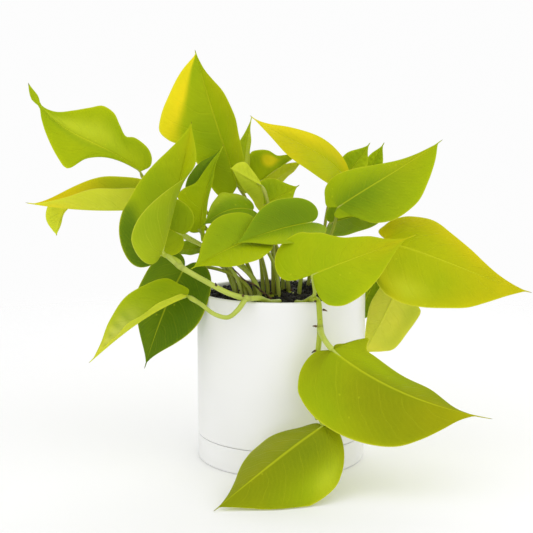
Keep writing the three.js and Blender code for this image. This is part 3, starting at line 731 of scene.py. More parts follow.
def catmull(places: np.ndarray, steps: int) -> np.ndarray:
    """A smooth curve through points, evenly paced between them.

    Args:
        places: The points, one a row.
        steps: Steps from each point to the next.

    Returns:
        The curve's points.
    """
    ends = np.array([2 * places[0] - places[1], *places, 2 * places[-1] - places[-2]], float)
    found = []
    for i in range(1, len(ends) - 2):
        a, b, c, d = ends[i - 1 : i + 3]
        pace = [math.sqrt(max(float(np.linalg.norm(q - p)), 1e-4)) for p, q in ((a, b), (b, c), (c, d))]
        leave = (b - a) / pace[0] - (c - a) / (pace[0] + pace[1]) + (c - b) / pace[1]
        reach = (c - b) / pace[1] - (d - b) / (pace[1] + pace[2]) + (d - c) / pace[2]
        t = np.linspace(0, 1, steps + 1)[: steps + (i == len(ends) - 3), None]
        hermite = (2 * t**3 - 3 * t**2 + 1) * b + (t**3 - 2 * t**2 + t) * leave * pace[1]
        found.append(hermite + (3 * t**2 - 2 * t**3) * c + (t**3 - t**2) * reach * pace[1])
    return np.vstack(found)


def settle(piece: bpy.types.Object, node: str | None) -> None:
    """Ties a finished piece to the frame.

    Args:
        piece: The piece, already in place.
        node: The solid that it stands for, or None where it stands for none.
    """
    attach(piece, "root")
    if node is not None:
        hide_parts(node)
    LOG.info("made %s with %d faces", piece.name, len(piece.data.polygons))


def linked(name: str, data: bpy.types.ID | None) -> bpy.types.Object:
    """Puts a new object in the scene.

    Args:
        name: Its name.
        data: Its mesh, lamp or camera.

    Returns:
        The object.
    """
    made = bpy.data.objects.new(name, data)
    bpy.context.scene.collection.objects.link(made)
    return made


def tidied(mesh: bpy.types.Mesh, joint: float, outwards: bool) -> None:
    """Joins a mesh's doubled points and drops its empty faces.

    Args:
        mesh: The mesh.
        joint: Points nearer than this, in metres, become one.
        outwards: Whether to turn its faces outwards afterwards.
    """
    joiner = bmesh.new()
    joiner.from_mesh(mesh)
    bmesh.ops.remove_doubles(joiner, verts=joiner.verts, dist=joint)
    bmesh.ops.dissolve_degenerate(joiner, edges=joiner.edges, dist=NOTHING)
    if outwards:
        bmesh.ops.recalc_face_normals(joiner, faces=joiner.faces)
    joiner.to_mesh(mesh)
    joiner.free()


class Midrib:
    """A leaf's midrib, and the directions along, left and up at each place on it."""

    def __init__(self, blade: Blade) -> None:
        """Lays the curve out.

        Args:
            blade: The leaf.
        """
        base, tip = in_foliage(blade.base), in_foliage(blade.tip)
        chord = tip - base
        self.length = float(np.linalg.norm(chord))
        along = chord / self.length
        face = np.array(blade.face, float)
        self.up = unit(face - along * (face @ along))
        left = np.cross(self.up, along)
        bend, sway = np.tan(np.radians(blade.bend)), np.tan(np.radians(blade.sway))
        leaving = along + self.up * bend[0] + left * sway[0]
        arriving = along - self.up * bend[1] - left * sway[1]
        third = self.length / 3
        self.points = np.array([base, base + leaving * third, tip - arriving * third, tip])

    def station(self, share: np.ndarray) -> tuple[np.ndarray, np.ndarray, np.ndarray, np.ndarray]:
        """Points and directions at shares of the length. Below 0 the midrib runs straight on behind.

        Args:
            share: Any array of shares.

        Returns:
            The points, and the directions along, left and up.
        """
        t = np.clip(share, 0, 1)[..., None]
        a, b, c, d = self.points
        along = unit((1 - t) ** 2 * (b - a) + 2 * (1 - t) * t * (c - b) + t**2 * (d - c))
        up = unit(self.up - along * np.sum(self.up * along, -1, keepdims=True))
        left = np.cross(up, along)
        behind = along * np.minimum(share, 0)[..., None] * self.length
        return bezier(self.points, t) + behind, along, left, up


@dataclass
class LeafShape:
    """Builds the closed mesh of one leaf. Heights and widths are in millimetres.

    Attributes:
        blade: The leaf's own values.
        rows_behind: Rows from the base to the widest place.
        rows_ahead: Rows from there to the tip.
        columns: Columns from the midrib to each margin.
        thickness: Full thickness of the blade.
        rib: Height of the midrib below the blade.
        rib_reach: Half width of the midrib's ridge.
        groove: Depth of the midrib's groove above.
        groove_reach: Half width of the groove.
        laterals: Number of main side veins in each half.
        pucker: Height of the swelling between side veins.
        clear: Least height of the blade's middle above the table.
        fan: Share of the length over which the lobes' rows leave the base in a fan.
        split: Where the rows behind give way to those ahead on a half with its own outline.
        drip_width: Width of the fine drip tip.
        drip_rows: Rows on the drip tip.
        joint: Distance in metres under which points are joined.
    """

    blade: Blade
    rows_behind: int = 26
    rows_ahead: int = 40
    columns: int = 18
    thickness: float = 0.5
    rib: float = 0.75
    rib_reach: float = 1.1
    groove: float = 0.3
    groove_reach: float = 0.7
    laterals: int = 8
    pucker: float = 0.16
    clear: float = 1.0
    fan: float = 0.1
    split: float = 0.22
    drip_width: float = 0.9
    drip_rows: int = 6
    joint: float = 2e-6

    def outline(self, side: int) -> np.ndarray:
        """Flat outline of one half: distance along and out, in shares of length and half width.

        Args:
            side: 0 for the left half and 1 for the right one.

        Returns:
            One pair for each row.
        """
        blade = self.blade
        own = (blade.left, blade.right)[side]
        path = self.own_outline(own) if own else self.plain_outline(side)
        return self.with_drip(path) if blade.drip > 0 else path

    def plain_outline(self, side: int) -> np.ndarray:
        """The outline of a half that has only lobe, belly and point.

        Args:
            side: 0 for the left half and 1 for the right one.

        Returns:
            One pair for each row.
        """
        lobe, belly, point = (pair[side] for pair in (self.blade.lobe, self.blade.belly, self.blade.point))
        rest = 1 - belly
        back = np.array([[0, 0], [-1.8 * lobe, 0.14], [belly - 0.3 - 1.5 * lobe, 1], [belly, 1]])
        front = np.array([[belly, 1], [belly + 0.45 * rest, 1], [belly + 0.72 * rest, point], [1, 0]])
        rows = [
            bezier(handles, np.linspace(0, 1, count + 1)[:, None])
            for handles, count in ((back, self.rows_behind), (front, self.rows_ahead))
        ]
        return np.vstack([rows[0], rows[1][1:]])

    def own_outline(self, places: tuple[Pair, ...]) -> np.ndarray:
        """The outline of a half through its own points.

        Args:
            places: The points between base and tip.

        Returns:
            One pair for each row.
        """
        rough = catmull(np.array([(0.0, 0.0), *places, (1.0, 0.0)]), 24)
        rough[:, 1] = np.maximum(rough[:, 1], 0)
        split = int(np.argmax(rough[:, 0] > self.split))
        rows = []
        for part, count in ((rough[: split + 1], self.rows_behind), (rough[split:], self.rows_ahead)):
            steps = np.linalg.norm(np.diff(part * (1.0, 0.4), axis=0), axis=1)
            run = np.concatenate([[0.0], np.cumsum(steps)])
            even = np.linspace(0, run[-1], count + 1)
            rows.append(np.stack([np.interp(even, run, part[:, 0]), np.interp(even, run, part[:, 1])], 1))
        return np.vstack([rows[0], rows[1][1:]])

    def with_drip(self, path: np.ndarray) -> np.ndarray:
        """The outline with its tip drawn out fine.

        Args:
            path: The outline without its drip tip.

        Returns:
            The outline, with drip_rows more rows.
        """
        drip = self.blade.drip
        fine = self.drip_width / self.blade.width
        shortened = path[:, 0] - drip * smooth_step(0.3, 1.0, path[:, 0])
        stub = np.linspace(0, 1, self.drip_rows + 1)[1:, None]
        tail = np.hstack([1 - drip + drip * stub, fine * (1 - stub) ** 0.6])
        body = np.stack([shortened, np.maximum(path[:, 1], fine * (path[:, 0] > 0.5))], 1)
        return np.vstack([body, tail])

    def surface(self) -> dict[str, np.ndarray]:
        """The middle surface of both halves.

        Returns:
            Arrays by name, each with the axes half, row and column: point, normal, across, along,
            distance and root.
        """
        blade = self.blade
        midrib = Midrib(blade)
        outlines = np.stack([self.outline(0), self.outline(1)])
        loose = (outlines[:, :, 0].mean(0) - self.fan) / (1 - self.fan)
        root = np.clip(loose, 0, 1)
        fan = np.argmax(loose > 0)
        vein = np.where(np.arange(len(loose)) < fan, -0.3 * (1 - np.arange(len(loose)) / fan), root)
        out = np.linspace(0, 1, self.columns + 1) ** 1.5
        share = root[None, :, None] + (outlines[:, :, :1] - root[None, :, None]) * out**1.25
        sign = np.array([1.0, -1.0])[:, None, None]
        width = blade.width / 2 * np.array(blade.share, float)[:, None, None]
        distance = outlines[:, :, 1:] * out * width
        start, turn = self.folds(np.clip(share, 0, 1))
        turn = turn / width
        turn = np.where(np.abs(turn) < 1e-6, 1e-6, turn)
        end = start + turn * distance
        over = (np.sin(end) - np.sin(start)) / turn
        rise = (np.cos(start) - np.cos(end)) / turn
        point, _, left, up = midrib.station(share)
        point = point + left * (sign * over)[..., None] + up * rise[..., None]
        normal = up * np.cos(end)[..., None] - left * (sign * np.sin(end))[..., None]
        normal[:, :, 0] = unit(normal[0, :, 0] + normal[1, :, 0])
        across = np.broadcast_to(out, share.shape) * -sign
        along = np.broadcast_to(vein[None, :, None], share.shape)
        lift = self.unevenness(np.minimum(1, outlines[:, :, 1:] * 1.5), out, along, sign)
        point = point + normal * lift[..., None]
        point[..., 2] = np.maximum(point[..., 2], self.clear)
        return {
            "point": point,
            "normal": normal,
            "across": across,
            "along": along,
            "distance": distance,
            "root": np.broadcast_to(root[None, :, None], share.shape),
        }

    def folds(self, ahead: np.ndarray) -> tuple[np.ndarray, np.ndarray]:
        """The rise of each half at the midrib, and its further turn out to the margin.

        Args:
            ahead: Share of the way from base to tip.

        Returns:
            Both angles in radians.
        """
        blade = self.blade
        angles = (blade.fold, blade.tip_fold or blade.fold, blade.curl, blade.tip_curl or blade.curl)
        fold, tip_fold, curl, tip_curl = (np.radians(pair)[:, None, None] for pair in angles)
        kept = (1 - ahead) ** blade.ease
        return fold * kept + tip_fold * (1 - kept), curl * (1 - ahead) + tip_curl * ahead

    def unevenness(
        self, wide: np.ndarray, out: np.ndarray, along: np.ndarray, sign: np.ndarray
    ) -> np.ndarray:
        """The margin's waves, and the swelling between side veins.

        Args:
            wide: How wide the blade is, up to 1.
            out: Place between midrib and margin.
            along: Place between base and tip.
            sign: 1 for the left half and -1 for the right one.

        Returns:
            Height above the smooth surface.
        """
        blade = self.blade
        wave = np.sin(2 * math.pi * (blade.waves * along + 0.37 * (sign + 1)) + len(blade.name))
        swell = np.cos(2 * math.pi * self.laterals * along) * np.sin(math.pi * out) * self.pucker
        lift = blade.ripple * wave * out**2.5 * wide * smooth_step(-0.2, 0.1, along)
        return lift + swell * wide * smooth_step(0, 0.1, along) * (1 - smooth_step(0.75, 0.95, along))

    def tint(self, face: Side, across: np.ndarray, along: np.ndarray) -> np.ndarray:
        """The leaf's own colour over one of its faces.

        Args:
            face: The face.
            across: Place between the margins.
            along: Place between base and tip.

        Returns:
            Linear colours.
        """
        ground = self.blade.upper if face is Side.UPPER else self.blade.under
        colour = np.broadcast_to(ground.rgb, (*across.shape, 3))
        for wash in self.blade.washes:
            if wash.side is face:
                colour = towards(colour, wash.tone, wash.weight(across, along))
        return colour

    def offsets(self, grid: dict[str, np.ndarray]) -> dict[Side, np.ndarray]:
        """How far each face stands from the middle surface, with midrib and groove.

        Args:
            grid: The middle surface.

        Returns:
            Distances along the normal.
        """
        distance, root = grid["distance"], grid["root"]
        from_base = np.minimum(1, root / 0.06)
        full = np.minimum(1, distance / 3) * (1 - from_base) + from_base
        full = full * np.minimum(1, (1 - root) / 0.02)
        edge = 1 - np.abs(grid["across"]) ** 6
        taper = (1 - 0.8 * root) * full
        rib = self.rib * bell(distance, self.rib_reach) * taper * edge
        groove = self.groove * bell(distance, self.groove_reach) * taper * edge
        half = self.thickness / 2 * edge * full
        return {Side.UPPER: half - groove, Side.UNDER: -half - rib}

    def build(self) -> bpy.types.Mesh:
        """Makes the closed mesh, with its UV map and its tint.

        Returns:
            The mesh, with the upper face in material slot 0 and the under face in slot 1.
        """
        grid = self.surface()
        _, rows, columns = grid["root"].shape
        points, uvs, tints, faces, slots = [], [], [], [], []
        for slot, (face, offset) in enumerate(self.offsets(grid).items()):
            shell = grid["point"] + grid["normal"] * offset[..., None]
            colours = self.tint(face, grid["across"], grid["along"])
            for side in (0, 1):
                first = sum(len(part) for part in points)
                points.append(shell[side].reshape(-1, 3))
                uvs.append(np.stack([grid["across"][side], grid["along"][side]], -1).reshape(-1, 2))
                tints.append(colours[side].reshape(-1, 3))
                index = np.arange(rows * columns).reshape(rows, columns) + first
                quads = np.stack([index[:-1, :-1], index[1:, :-1], index[1:, 1:], index[:-1, 1:]], -1)
                quads = quads.reshape(-1, 4)
                if (side == 0) != (face is Side.UPPER):
                    quads = quads[:, ::-1]
                faces.append(quads)
                slots.append(np.full(len(quads), slot))
        return self.meshed(*(np.concatenate(parts) for parts in (points, uvs, tints, faces, slots)))

    def meshed(
        self, points: np.ndarray, uvs: np.ndarray, tints: np.ndarray, faces: np.ndarray, slots: np.ndarray
    ) -> bpy.types.Mesh:
        """A Blender mesh of the arrays, with doubled points joined.

        Args:
            points: Places of the points.
            uvs: Place between margins and between ends for each point.
            tints: Colour of each point.
            faces: Four point numbers for each face.
            slots: Material slot of each face.

        Returns:
            The mesh.
        """
        mesh = bpy.data.meshes.new(self.blade.name)
        mesh.from_pydata((points * MM).tolist(), [], faces.tolist())
        mesh.polygons.foreach_set("material_index", slots.astype(np.int32))
        corner = np.zeros(len(mesh.loops), np.int32)
        mesh.loops.foreach_get("vertex_index", corner)
        layer = mesh.uv_layers.new(name="blade")
        layer.data.foreach_set("uv", uvs[corner].ravel().astype(np.float32))
        colours = np.hstack([tints, np.ones((len(tints), 1))])[corner]
        tint = mesh.color_attributes.new("tint", "FLOAT_COLOR", "CORNER")
        tint.data.foreach_set("color", colours.ravel().astype(np.float32))
        tidied(mesh, self.joint, outwards=False)
        mesh.shade_smooth()
        mesh.set_sharp_from_angle(angle=math.radians(70))
        return mesh


class Sketch:
    """Short ways to add and join nodes in one tree."""

    MIX_FIRST, MIX_SECOND, MIXED = 6, 7, 2

    def __init__(self, tree: bpy.types.NodeTree) -> None:
        """Keeps the tree.

        Args:
            tree: A shader or geometry node tree.
        """
        self.tree = tree
        self.column = 0

    @property
    def given(self) -> bpy.types.NodeOutputs:
        """What the group takes in."""
        return self.tree.nodes["in"].outputs

    @property
    def out(self) -> bpy.types.NodeInputs:
        """What the group gives out."""
        return self.tree.nodes["out"].inputs

    def add(self, kind: str, sockets: dict | None = None, **settings: object) -> bpy.types.Node:
        """Adds a node.

        Args:
            kind: The node's type name.
            sockets: A value, or an output to join, for each input by name or number.
            settings: The node's own settings.

        Returns:
            The node.
        """
        node = self.tree.nodes.new(kind)
        node.location = (180 * self.column, 0)
        self.column += 1
        for name, value in settings.items():
            setattr(node, name, value)
        for key, value in (sockets or {}).items():
            self.feed(node.inputs[key], value)
        return node

    def get(self, kind: str, sockets: dict | None = None, **settings: object) -> Socket:
        """Adds a node and gives its first output."""
        return self.add(kind, sockets, **settings).outputs[0]

    def feed(self, socket: Socket, value: object) -> None:
        """Joins an output to a socket, or sets the socket's value.

        Args:
            socket: The input.
            value: An output or a plain value.
        """
        if isinstance(value, Socket):
            self.tree.links.new(value, socket)
        else:
            socket.default_value = value

    def maths(self, operation: str, *values: object) -> Socket:
        """The result of one sum on up to three values."""
        return self.get("ShaderNodeMath", dict(enumerate(values)), operation=operation)

    def times(self, *values: object) -> Socket:
        """The product of two or more values."""
        product = self.maths("MULTIPLY", *values[:2])
        return self.times(product, *values[2:]) if len(values) > 2 else product

    def step(self, value: object, low: float, high: float) -> Socket:
        """A smooth rise from 0 at low to 1 at high, or a fall where low is the higher.

        Args:
            value: The value that rises.
            low: Where the result is 0.
            high: Where the result is 1.

        Returns:
            The result.
        """
        ends = (1.0, 0.0) if low > high else (0.0, 1.0)
        low, high = sorted((low, high))
        sockets = {"Value": value, "From Min": low, "From Max": high, "To Min": ends[0], "To Max": ends[1]}
        return self.get("ShaderNodeMapRange", sockets, interpolation_type="SMOOTHSTEP")

    def blend(self, share: object, first: object, second: object, mode: str = "MIX") -> Socket:
        """Two colours mixed.

        Args:
            share: Share of the second, a value or an output.
            first: First colour or output.
            second: Second colour or output.
            mode: The way of mixing.

        Returns:
            The mixed colour's output.
        """
        node = self.add("ShaderNodeMix", data_type="RGBA", blend_type=mode)
        self.feed(node.inputs["Factor"], share)
        for place, colour in ((self.MIX_FIRST, first), (self.MIX_SECOND, second)):
            solid = not isinstance(colour, Socket)
            self.feed(node.inputs[place], (*colour, 1.0) if solid else colour)
        return node.outputs[self.MIXED]

    def noise(self, vector: object, scale: object, detail: float = 3.0) -> Socket:
        """Soft noise from 0 to 1 over the vector."""
        return self.get("ShaderNodeTexNoise", {"Vector": vector, "Scale": scale, "Detail": detail})

    def finished(self, geometry: Socket) -> bpy.types.NodeTree:
        """Ends a geometry tree: its instances made real and its material set.

        Args:
            geometry: What the tree has made.

        Returns:
            The tree.
        """
        real = self.get("GeometryNodeRealizeInstances", {"Geometry": geometry})
        dressed = self.get("GeometryNodeSetMaterial", {"Geometry": real, "Material": self.given["Skin"]})
        self.feed(self.out["Geometry"], dressed)
        return self.tree


def new_group(name: str, inputs: dict[str, str], outputs: tuple[str, ...] = ()) -> Sketch:
    """A new node group with its sockets, ready to be filled.

    Args:
        name: The group's name.
        inputs: Socket type for each input's name, without its first word.
        outputs: Names of the values that a shader group gives out. Where there are none, the group is
            a geometry tree with a Geometry input and output and a Skin input.

    Returns:
        A sketch of the group.
    """
    gives = {label: "Float" for label in outputs}
    if not outputs:
        inputs = {"Geometry": "Geometry", **inputs, "Skin": "Material"}
        gives = {"Geometry": "Geometry"}
    tree = bpy.data.node_groups.new(name, "ShaderNodeTree" if outputs else "GeometryNodeTree")
    for direction, sockets in (("INPUT", inputs), ("OUTPUT", gives)):
        for label, kind in sockets.items():
            tree.interface.new_socket(label, in_out=direction, socket_type="NodeSocket" + kind)
    sketch = Sketch(tree)
    sketch.add("NodeGroupInput").name = "in"
    sketch.add("NodeGroupOutput").name = "out"
    return sketch


@cache
def vein_group() -> bpy.types.NodeTree:
    """Masks of a leaf's midrib, side veins, net of fine veins and margin, from the blade's UV map.

    Returns:
        The group, made the first time that it is asked for.
    """
    outputs = ("Midrib", "Laterals", "Fine", "Net", "Margin", "Tip", "Body")
    sketch = new_group("leaf veins", {"Blade": "Vector", "Laterals": "Float", "Wander": "Float"}, outputs)
    given, out = sketch.given, sketch.out
    parts = sketch.add("ShaderNodeSeparateXYZ", {0: given["Blade"]}).outputs
    across = sketch.maths("ABSOLUTE", parts[0])
    away = sketch.step(across, 0.02, 0.12)
    wander = sketch.times(sketch.noise(given["Blade"], 2.2, 2.0), given["Wander"])
    side = sketch.times(sketch.maths("GREATER_THAN", parts[0], 0.0), 0.43)
    place = sketch.maths("MULTIPLY_ADD", parts[1], given["Laterals"], side)
    place = sketch.maths("ADD", place, wander)
    place = sketch.maths("MULTIPLY_ADD", sketch.maths("POWER", across, 1.4), -1.5, place)
    combs = {
        label: sketch.step(sketch.maths("PINGPONG", sketch.times(place, count), 0.5), width, 0.0)
        for label, count, width in (("Laterals", 1.0, 0.05), ("Fine", 4.0, 0.3))
    }
    sketch.feed(out["Midrib"], sketch.step(across, 0.036, 0.008))
    sketch.feed(out["Laterals"], sketch.times(combs["Laterals"], away, sketch.step(across, 1.0, 0.55)))
    sketch.feed(out["Fine"], sketch.times(combs["Fine"], away))
    net = sketch.get(
        "ShaderNodeTexVoronoi", {"Vector": given["Blade"], "Scale": 34.0}, feature="DISTANCE_TO_EDGE"
    )
    sketch.feed(out["Net"], sketch.step(net, 0.12, 0.0))
    sketch.feed(out["Margin"], sketch.step(across, 0.97, 0.997))
    sketch.feed(out["Tip"], sketch.step(parts[1], 0.972, 0.995))
    sketch.feed(out["Body"], sketch.step(parts[1], 0.85, 0.7))
    return sketch.tree


@cache
def bloom_group() -> bpy.types.NodeTree:
    """Broad and fine unevenness of a grown surface, and its scattered pale specks, over object coordinates.

    Returns:
        The group, made the first time that it is asked for.
    """
    inputs = {"Place": "Vector", "Broad": "Float", "Fine": "Float"}
    sketch = new_group("grown unevenness", inputs, ("Broad", "Fine", "Specks"))
    place, out = sketch.given["Place"], sketch.out
    for label, detail in (("Broad", 2.0), ("Fine", 4.0)):
        sketch.feed(out[label], sketch.noise(place, sketch.given[label], detail))
    cells = sketch.add("ShaderNodeTexVoronoi", {"Vector": place, "Scale": 150.0}).outputs
    chosen = sketch.maths("GREATER_THAN", sketch.get("ShaderNodeSeparateXYZ", {0: cells["Color"]}), 0.8)
    sketch.feed(out["Specks"], sketch.times(sketch.step(cells["Distance"], 0.16, 0.06), chosen))
    return sketch.tree


@dataclass(frozen=True)
class Finish:
    """What every finish shares: a material, the place on the piece, and its unevenness.

    Attributes:
        name: The material's name.
        broad: Scale of the broad unevenness.
        fine: Scale of the fine one.
        relief: Metres that a height of 1 stands for in the bump.
    """

    name: str
    broad: float
    fine: float
    relief: float

    def build(self) -> bpy.types.Material:
        """Makes the material.

        Returns:
            The material.
        """
        material = bpy.data.materials.new(self.name)
        material.use_nodes = True
        sketch = Sketch(material.node_tree)
        shader = material.node_tree.nodes["Principled BSDF"].inputs
        place = sketch.add("ShaderNodeTexCoord").outputs["Object"]
        sockets = {"Place": place, "Broad": self.broad, "Fine": self.fine}
        bloom = sketch.add("ShaderNodeGroup", sockets, node_tree=bloom_group()).outputs
        colour, rough, height = self.skin(sketch, shader, place, bloom)
        sketch.feed(shader["Base Color"], colour)
        sketch.feed(shader["Roughness"], rough)
        bump = {"Height": height, "Distance": self.relief, "Strength": 1.0}
        sketch.feed(shader["Normal"], sketch.get("ShaderNodeBump", bump))
        return material

    def skin(
        self, sketch: Sketch, shader: bpy.types.NodeInputs, place: Socket, bloom: bpy.types.NodeOutputs
    ) -> tuple[Socket, Socket, Socket]:
        """The finish's own colour, roughness and height, which each finish makes in its own way.

        Args:
            sketch: The material's tree.
            shader: Inputs of its Principled shader.
            place: Object coordinates.
            bloom: The unevenness.

        Returns:
            Colour, roughness and height.
        """
        raise NotImplementedError


@dataclass(frozen=True)
class LeafFinish(Finish):
    """The skin of one side of a leaf: waxy above, duller below with raised veins.

    Attributes:
        vein: Colour of the veins.
        vein_share: How much of it the side veins show.
        midrib_share: How much of it the midrib shows.
        margin: Colour of the fine margin.
        roughness: Middle roughness.
        sheen: Specular level of the waxy skin.
        proud: 1 where the veins stand proud, and -1 where they are sunk.
        glow: Share of light that passes through.
    """

    vein: Colour
    vein_share: float
    midrib_share: float
    margin: Colour
    roughness: float
    sheen: float
    proud: float
    glow: float = 0.2

    def skin(
        self, sketch: Sketch, shader: bpy.types.NodeInputs, place: Socket, bloom: bpy.types.NodeOutputs
    ) -> tuple[Socket, Socket, Socket]:
        """The leaf's tint under its veins, specks, margin and dry tip, with the veins' relief.

        Args:
            sketch: The material's tree.
            shader: Inputs of its Principled shader.
            place: Object coordinates; not used here.
            bloom: The unevenness.

        Returns:
            Colour, roughness and height.
        """
        uv = sketch.get("ShaderNodeUVMap", uv_map="blade")
        tint = sketch.add("ShaderNodeAttribute", attribute_name="tint").outputs["Color"]
        sockets = {"Blade": uv, "Laterals": 7.0, "Wander": 0.55}
        veins = sketch.add("ShaderNodeGroup", sockets, node_tree=vein_group()).outputs
        shaded = sketch.blend(1.0, tint, (0.86, 0.93, 0.9), "MULTIPLY")
        colour = sketch.blend(sketch.step(bloom["Broad"], 0.3, 0.7), tint, shaded)
        for mask, share, over in (
            (bloom["Fine"], 0.12, (0.16, 0.24, 0.004)),
            (veins["Net"], 0.03, self.vein),
            (veins["Fine"], self.vein_share * 0.3, self.vein),
            (veins["Laterals"], self.vein_share, self.vein),
            (veins["Midrib"], self.midrib_share, self.vein),
            (bloom["Specks"], 0.3, self.vein),
            (veins["Margin"], 0.55, self.margin),
            (veins["Tip"], 0.75, Tone.BARK.value),
        ):
            colour = sketch.blend(sketch.times(mask, share), colour, over)
        rough = sketch.maths("MULTIPLY_ADD", bloom["Fine"], 0.14, self.roughness - 0.07)
        rough = sketch.maths("MULTIPLY_ADD", veins["Midrib"], 0.08, rough)
        shader["Specular IOR Level"].default_value = self.sheen
        shader["Subsurface Weight"].default_value = self.glow
        shader["Subsurface Radius"].default_value = (1.0, 1.0, 0.25)
        shader["Subsurface Scale"].default_value = 0.0012
        raised = veins["Midrib"]
        for mask, share in ((veins["Laterals"], 0.6), (veins["Fine"], 0.18), (veins["Net"], 0.08)):
            raised = sketch.maths("MULTIPLY_ADD", mask, share, raised)
        height = sketch.maths("MULTIPLY_ADD", raised, self.proud, sketch.times(bloom["Fine"], 0.3))
        return colour, rough, sketch.times(height, veins["Body"])


@dataclass(frozen=True)
class StemFinish(Finish):
    """The skin of vines and stalks: pale ridges along it and small brown flecks.

    Attributes:
        roughness: Middle roughness.
        shade: The green that clouds it.
        glow: Share of light that passes through.
    """

    roughness: float = 0.42
    shade: Colour = (0.30, 0.40, 0.01)
    glow: float = 0.25

    def skin(
        self, sketch: Sketch, shader: bpy.types.NodeInputs, place: Socket, bloom: bpy.types.NodeOutputs
    ) -> tuple[Socket, Socket, Socket]:
        """The stem's tint, clouded, streaked and flecked, with the relief of its streaks.

        Args:
            sketch: The material's tree.
            shader: Inputs of its Principled shader.
            place: Object coordinates.
            bloom: The unevenness.

        Returns:
            Colour, roughness and height.
        """
        tint = sketch.add("ShaderNodeAttribute", attribute_name="tint").outputs["Color"]
        drawn = sketch.get("ShaderNodeMapping", {0: place, "Scale": (900.0, 900.0, 60.0)})
        streak = sketch.noise(drawn, 1.0)
        fleck = sketch.step(sketch.noise(place, 420.0, 2.0), 0.70, 0.78)
        colour = sketch.blend(sketch.step(bloom["Broad"], 0.35, 0.7), tint, self.shade)
        colour = sketch.blend(0.45, tint, colour)
        colour = sketch.blend(sketch.times(streak, 0.2), colour, Tone.CREAM.value)
        colour = sketch.blend(sketch.times(fleck, 0.7), colour, Tone.BARK.value)
        shader["Subsurface Weight"].default_value = self.glow
        shader["Subsurface Radius"].default_value = (1.0, 1.0, 0.3)
        shader["Subsurface Scale"].default_value = 0.001
        rough = sketch.maths("MULTIPLY_ADD", bloom["Fine"], 0.2, self.roughness - 0.1)
        return colour, rough, sketch.maths("MULTIPLY_ADD", bloom["Fine"], 0.5, streak)


class Mask(Enum):
    """The masks of the unevenness, as the group names them."""

    BROAD = "Broad"
    FINE = "Fine"


@dataclass(frozen=True)
class PlainFinish(Finish):
    """A finish of two colours that cloud into each other: bark, potting mix or planter plastic.

    Attributes:
        first: One colour.
        second: The other colour.
        spread: Where the broad mask begins and ends to show the second colour.
        roughness: Least roughness.
        vary: How much the roughness grows with its mask.
        rough_by: The mask that drives the roughness.
        grit: The same for the fine mask, or None where it doesn't matter.
    """

    first: Colour
    second: Colour
    spread: Pair
    roughness: float
    vary: float
    rough_by: Mask = Mask.FINE
    grit: Pair | None = None

    def skin(
        self, sketch: Sketch, shader: bpy.types.NodeInputs, place: Socket, bloom: bpy.types.NodeOutputs
    ) -> tuple[Socket, Socket, Socket]:
        """The two colours, with the fine unevenness as relief.

        Args:
            sketch: The material's tree.
            shader: Inputs of its Principled shader; not used here.
            place: Object coordinates; not used here.
            bloom: The unevenness.

        Returns:
            Colour, roughness and height.
        """
        mixed = sketch.step(bloom["Broad"], *self.spread)
        if self.grit is not None:
            mixed = sketch.times(mixed, sketch.step(bloom["Fine"], *self.grit))
        rough = sketch.maths("MULTIPLY_ADD", bloom[self.rough_by.value], self.vary, self.roughness)
        return sketch.blend(mixed, self.first, self.second), rough, bloom["Fine"]


LEAF_SCALES = {"broad": 28.0, "fine": 260.0, "relief": 0.00022}
UPPER_SKIN = LeafFinish(
    "leaf upper skin", **LEAF_SCALES, vein=(0.62, 0.66, 0.02), vein_share=0.08, midrib_share=0.45,
    margin=(0.66, 0.68, 0.02), roughness=0.42, sheen=0.05, proud=-1.0,
)
UNDER_SKIN = LeafFinish(
    "leaf under skin", **LEAF_SCALES, vein=(0.68, 0.72, 0.05), vein_share=0.16, midrib_share=0.5,
    margin=(0.70, 0.72, 0.04), roughness=0.55, sheen=0.04, proud=1.0,
)
STEM_SKIN = StemFinish("stem skin", broad=90.0, fine=700.0, relief=0.00018)
DRY_BARK = PlainFinish(
    "dry bark", broad=300.0, fine=1400.0, relief=0.0004, first=(0.018, 0.01, 0.005),
    second=(0.16, 0.085, 0.03), spread=(0.3, 0.7), roughness=0.65, vary=0.3,
)
POTTING_MIX = PlainFinish(
    "potting mix", broad=130.0, fine=900.0, relief=0.001, first=(0.003, 0.002, 0.0015),
    second=(0.02, 0.012, 0.007), spread=(0.35, 0.7), roughness=0.7, vary=0.25, grit=(0.25, 0.75),
)
WHITE_PLASTIC = PlainFinish(
    "white satin plastic", broad=14.0, fine=1800.0, relief=0.00003, first=(0.86, 0.86, 0.85),
    second=(0.81, 0.81, 0.80), spread=(0.35, 0.7), roughness=0.31, vary=0.1, rough_by=Mask.BROAD,
)


@dataclass
class Strand:
    """One tube of a stem.

    Attributes:
        points: Its centre line in millimetres.
        radii: Its radius at each point.
        tones: Its colour at each point.
    """

    points: np.ndarray
    radii: np.ndarray
    tones: np.ndarray

    @classmethod
    def plain(cls, points: np.ndarray, radii: np.ndarray, tone: Tone) -> Strand:
        """A strand of one tone."""
        return cls(points, radii, np.broadcast_to(tone.rgb, points.shape))


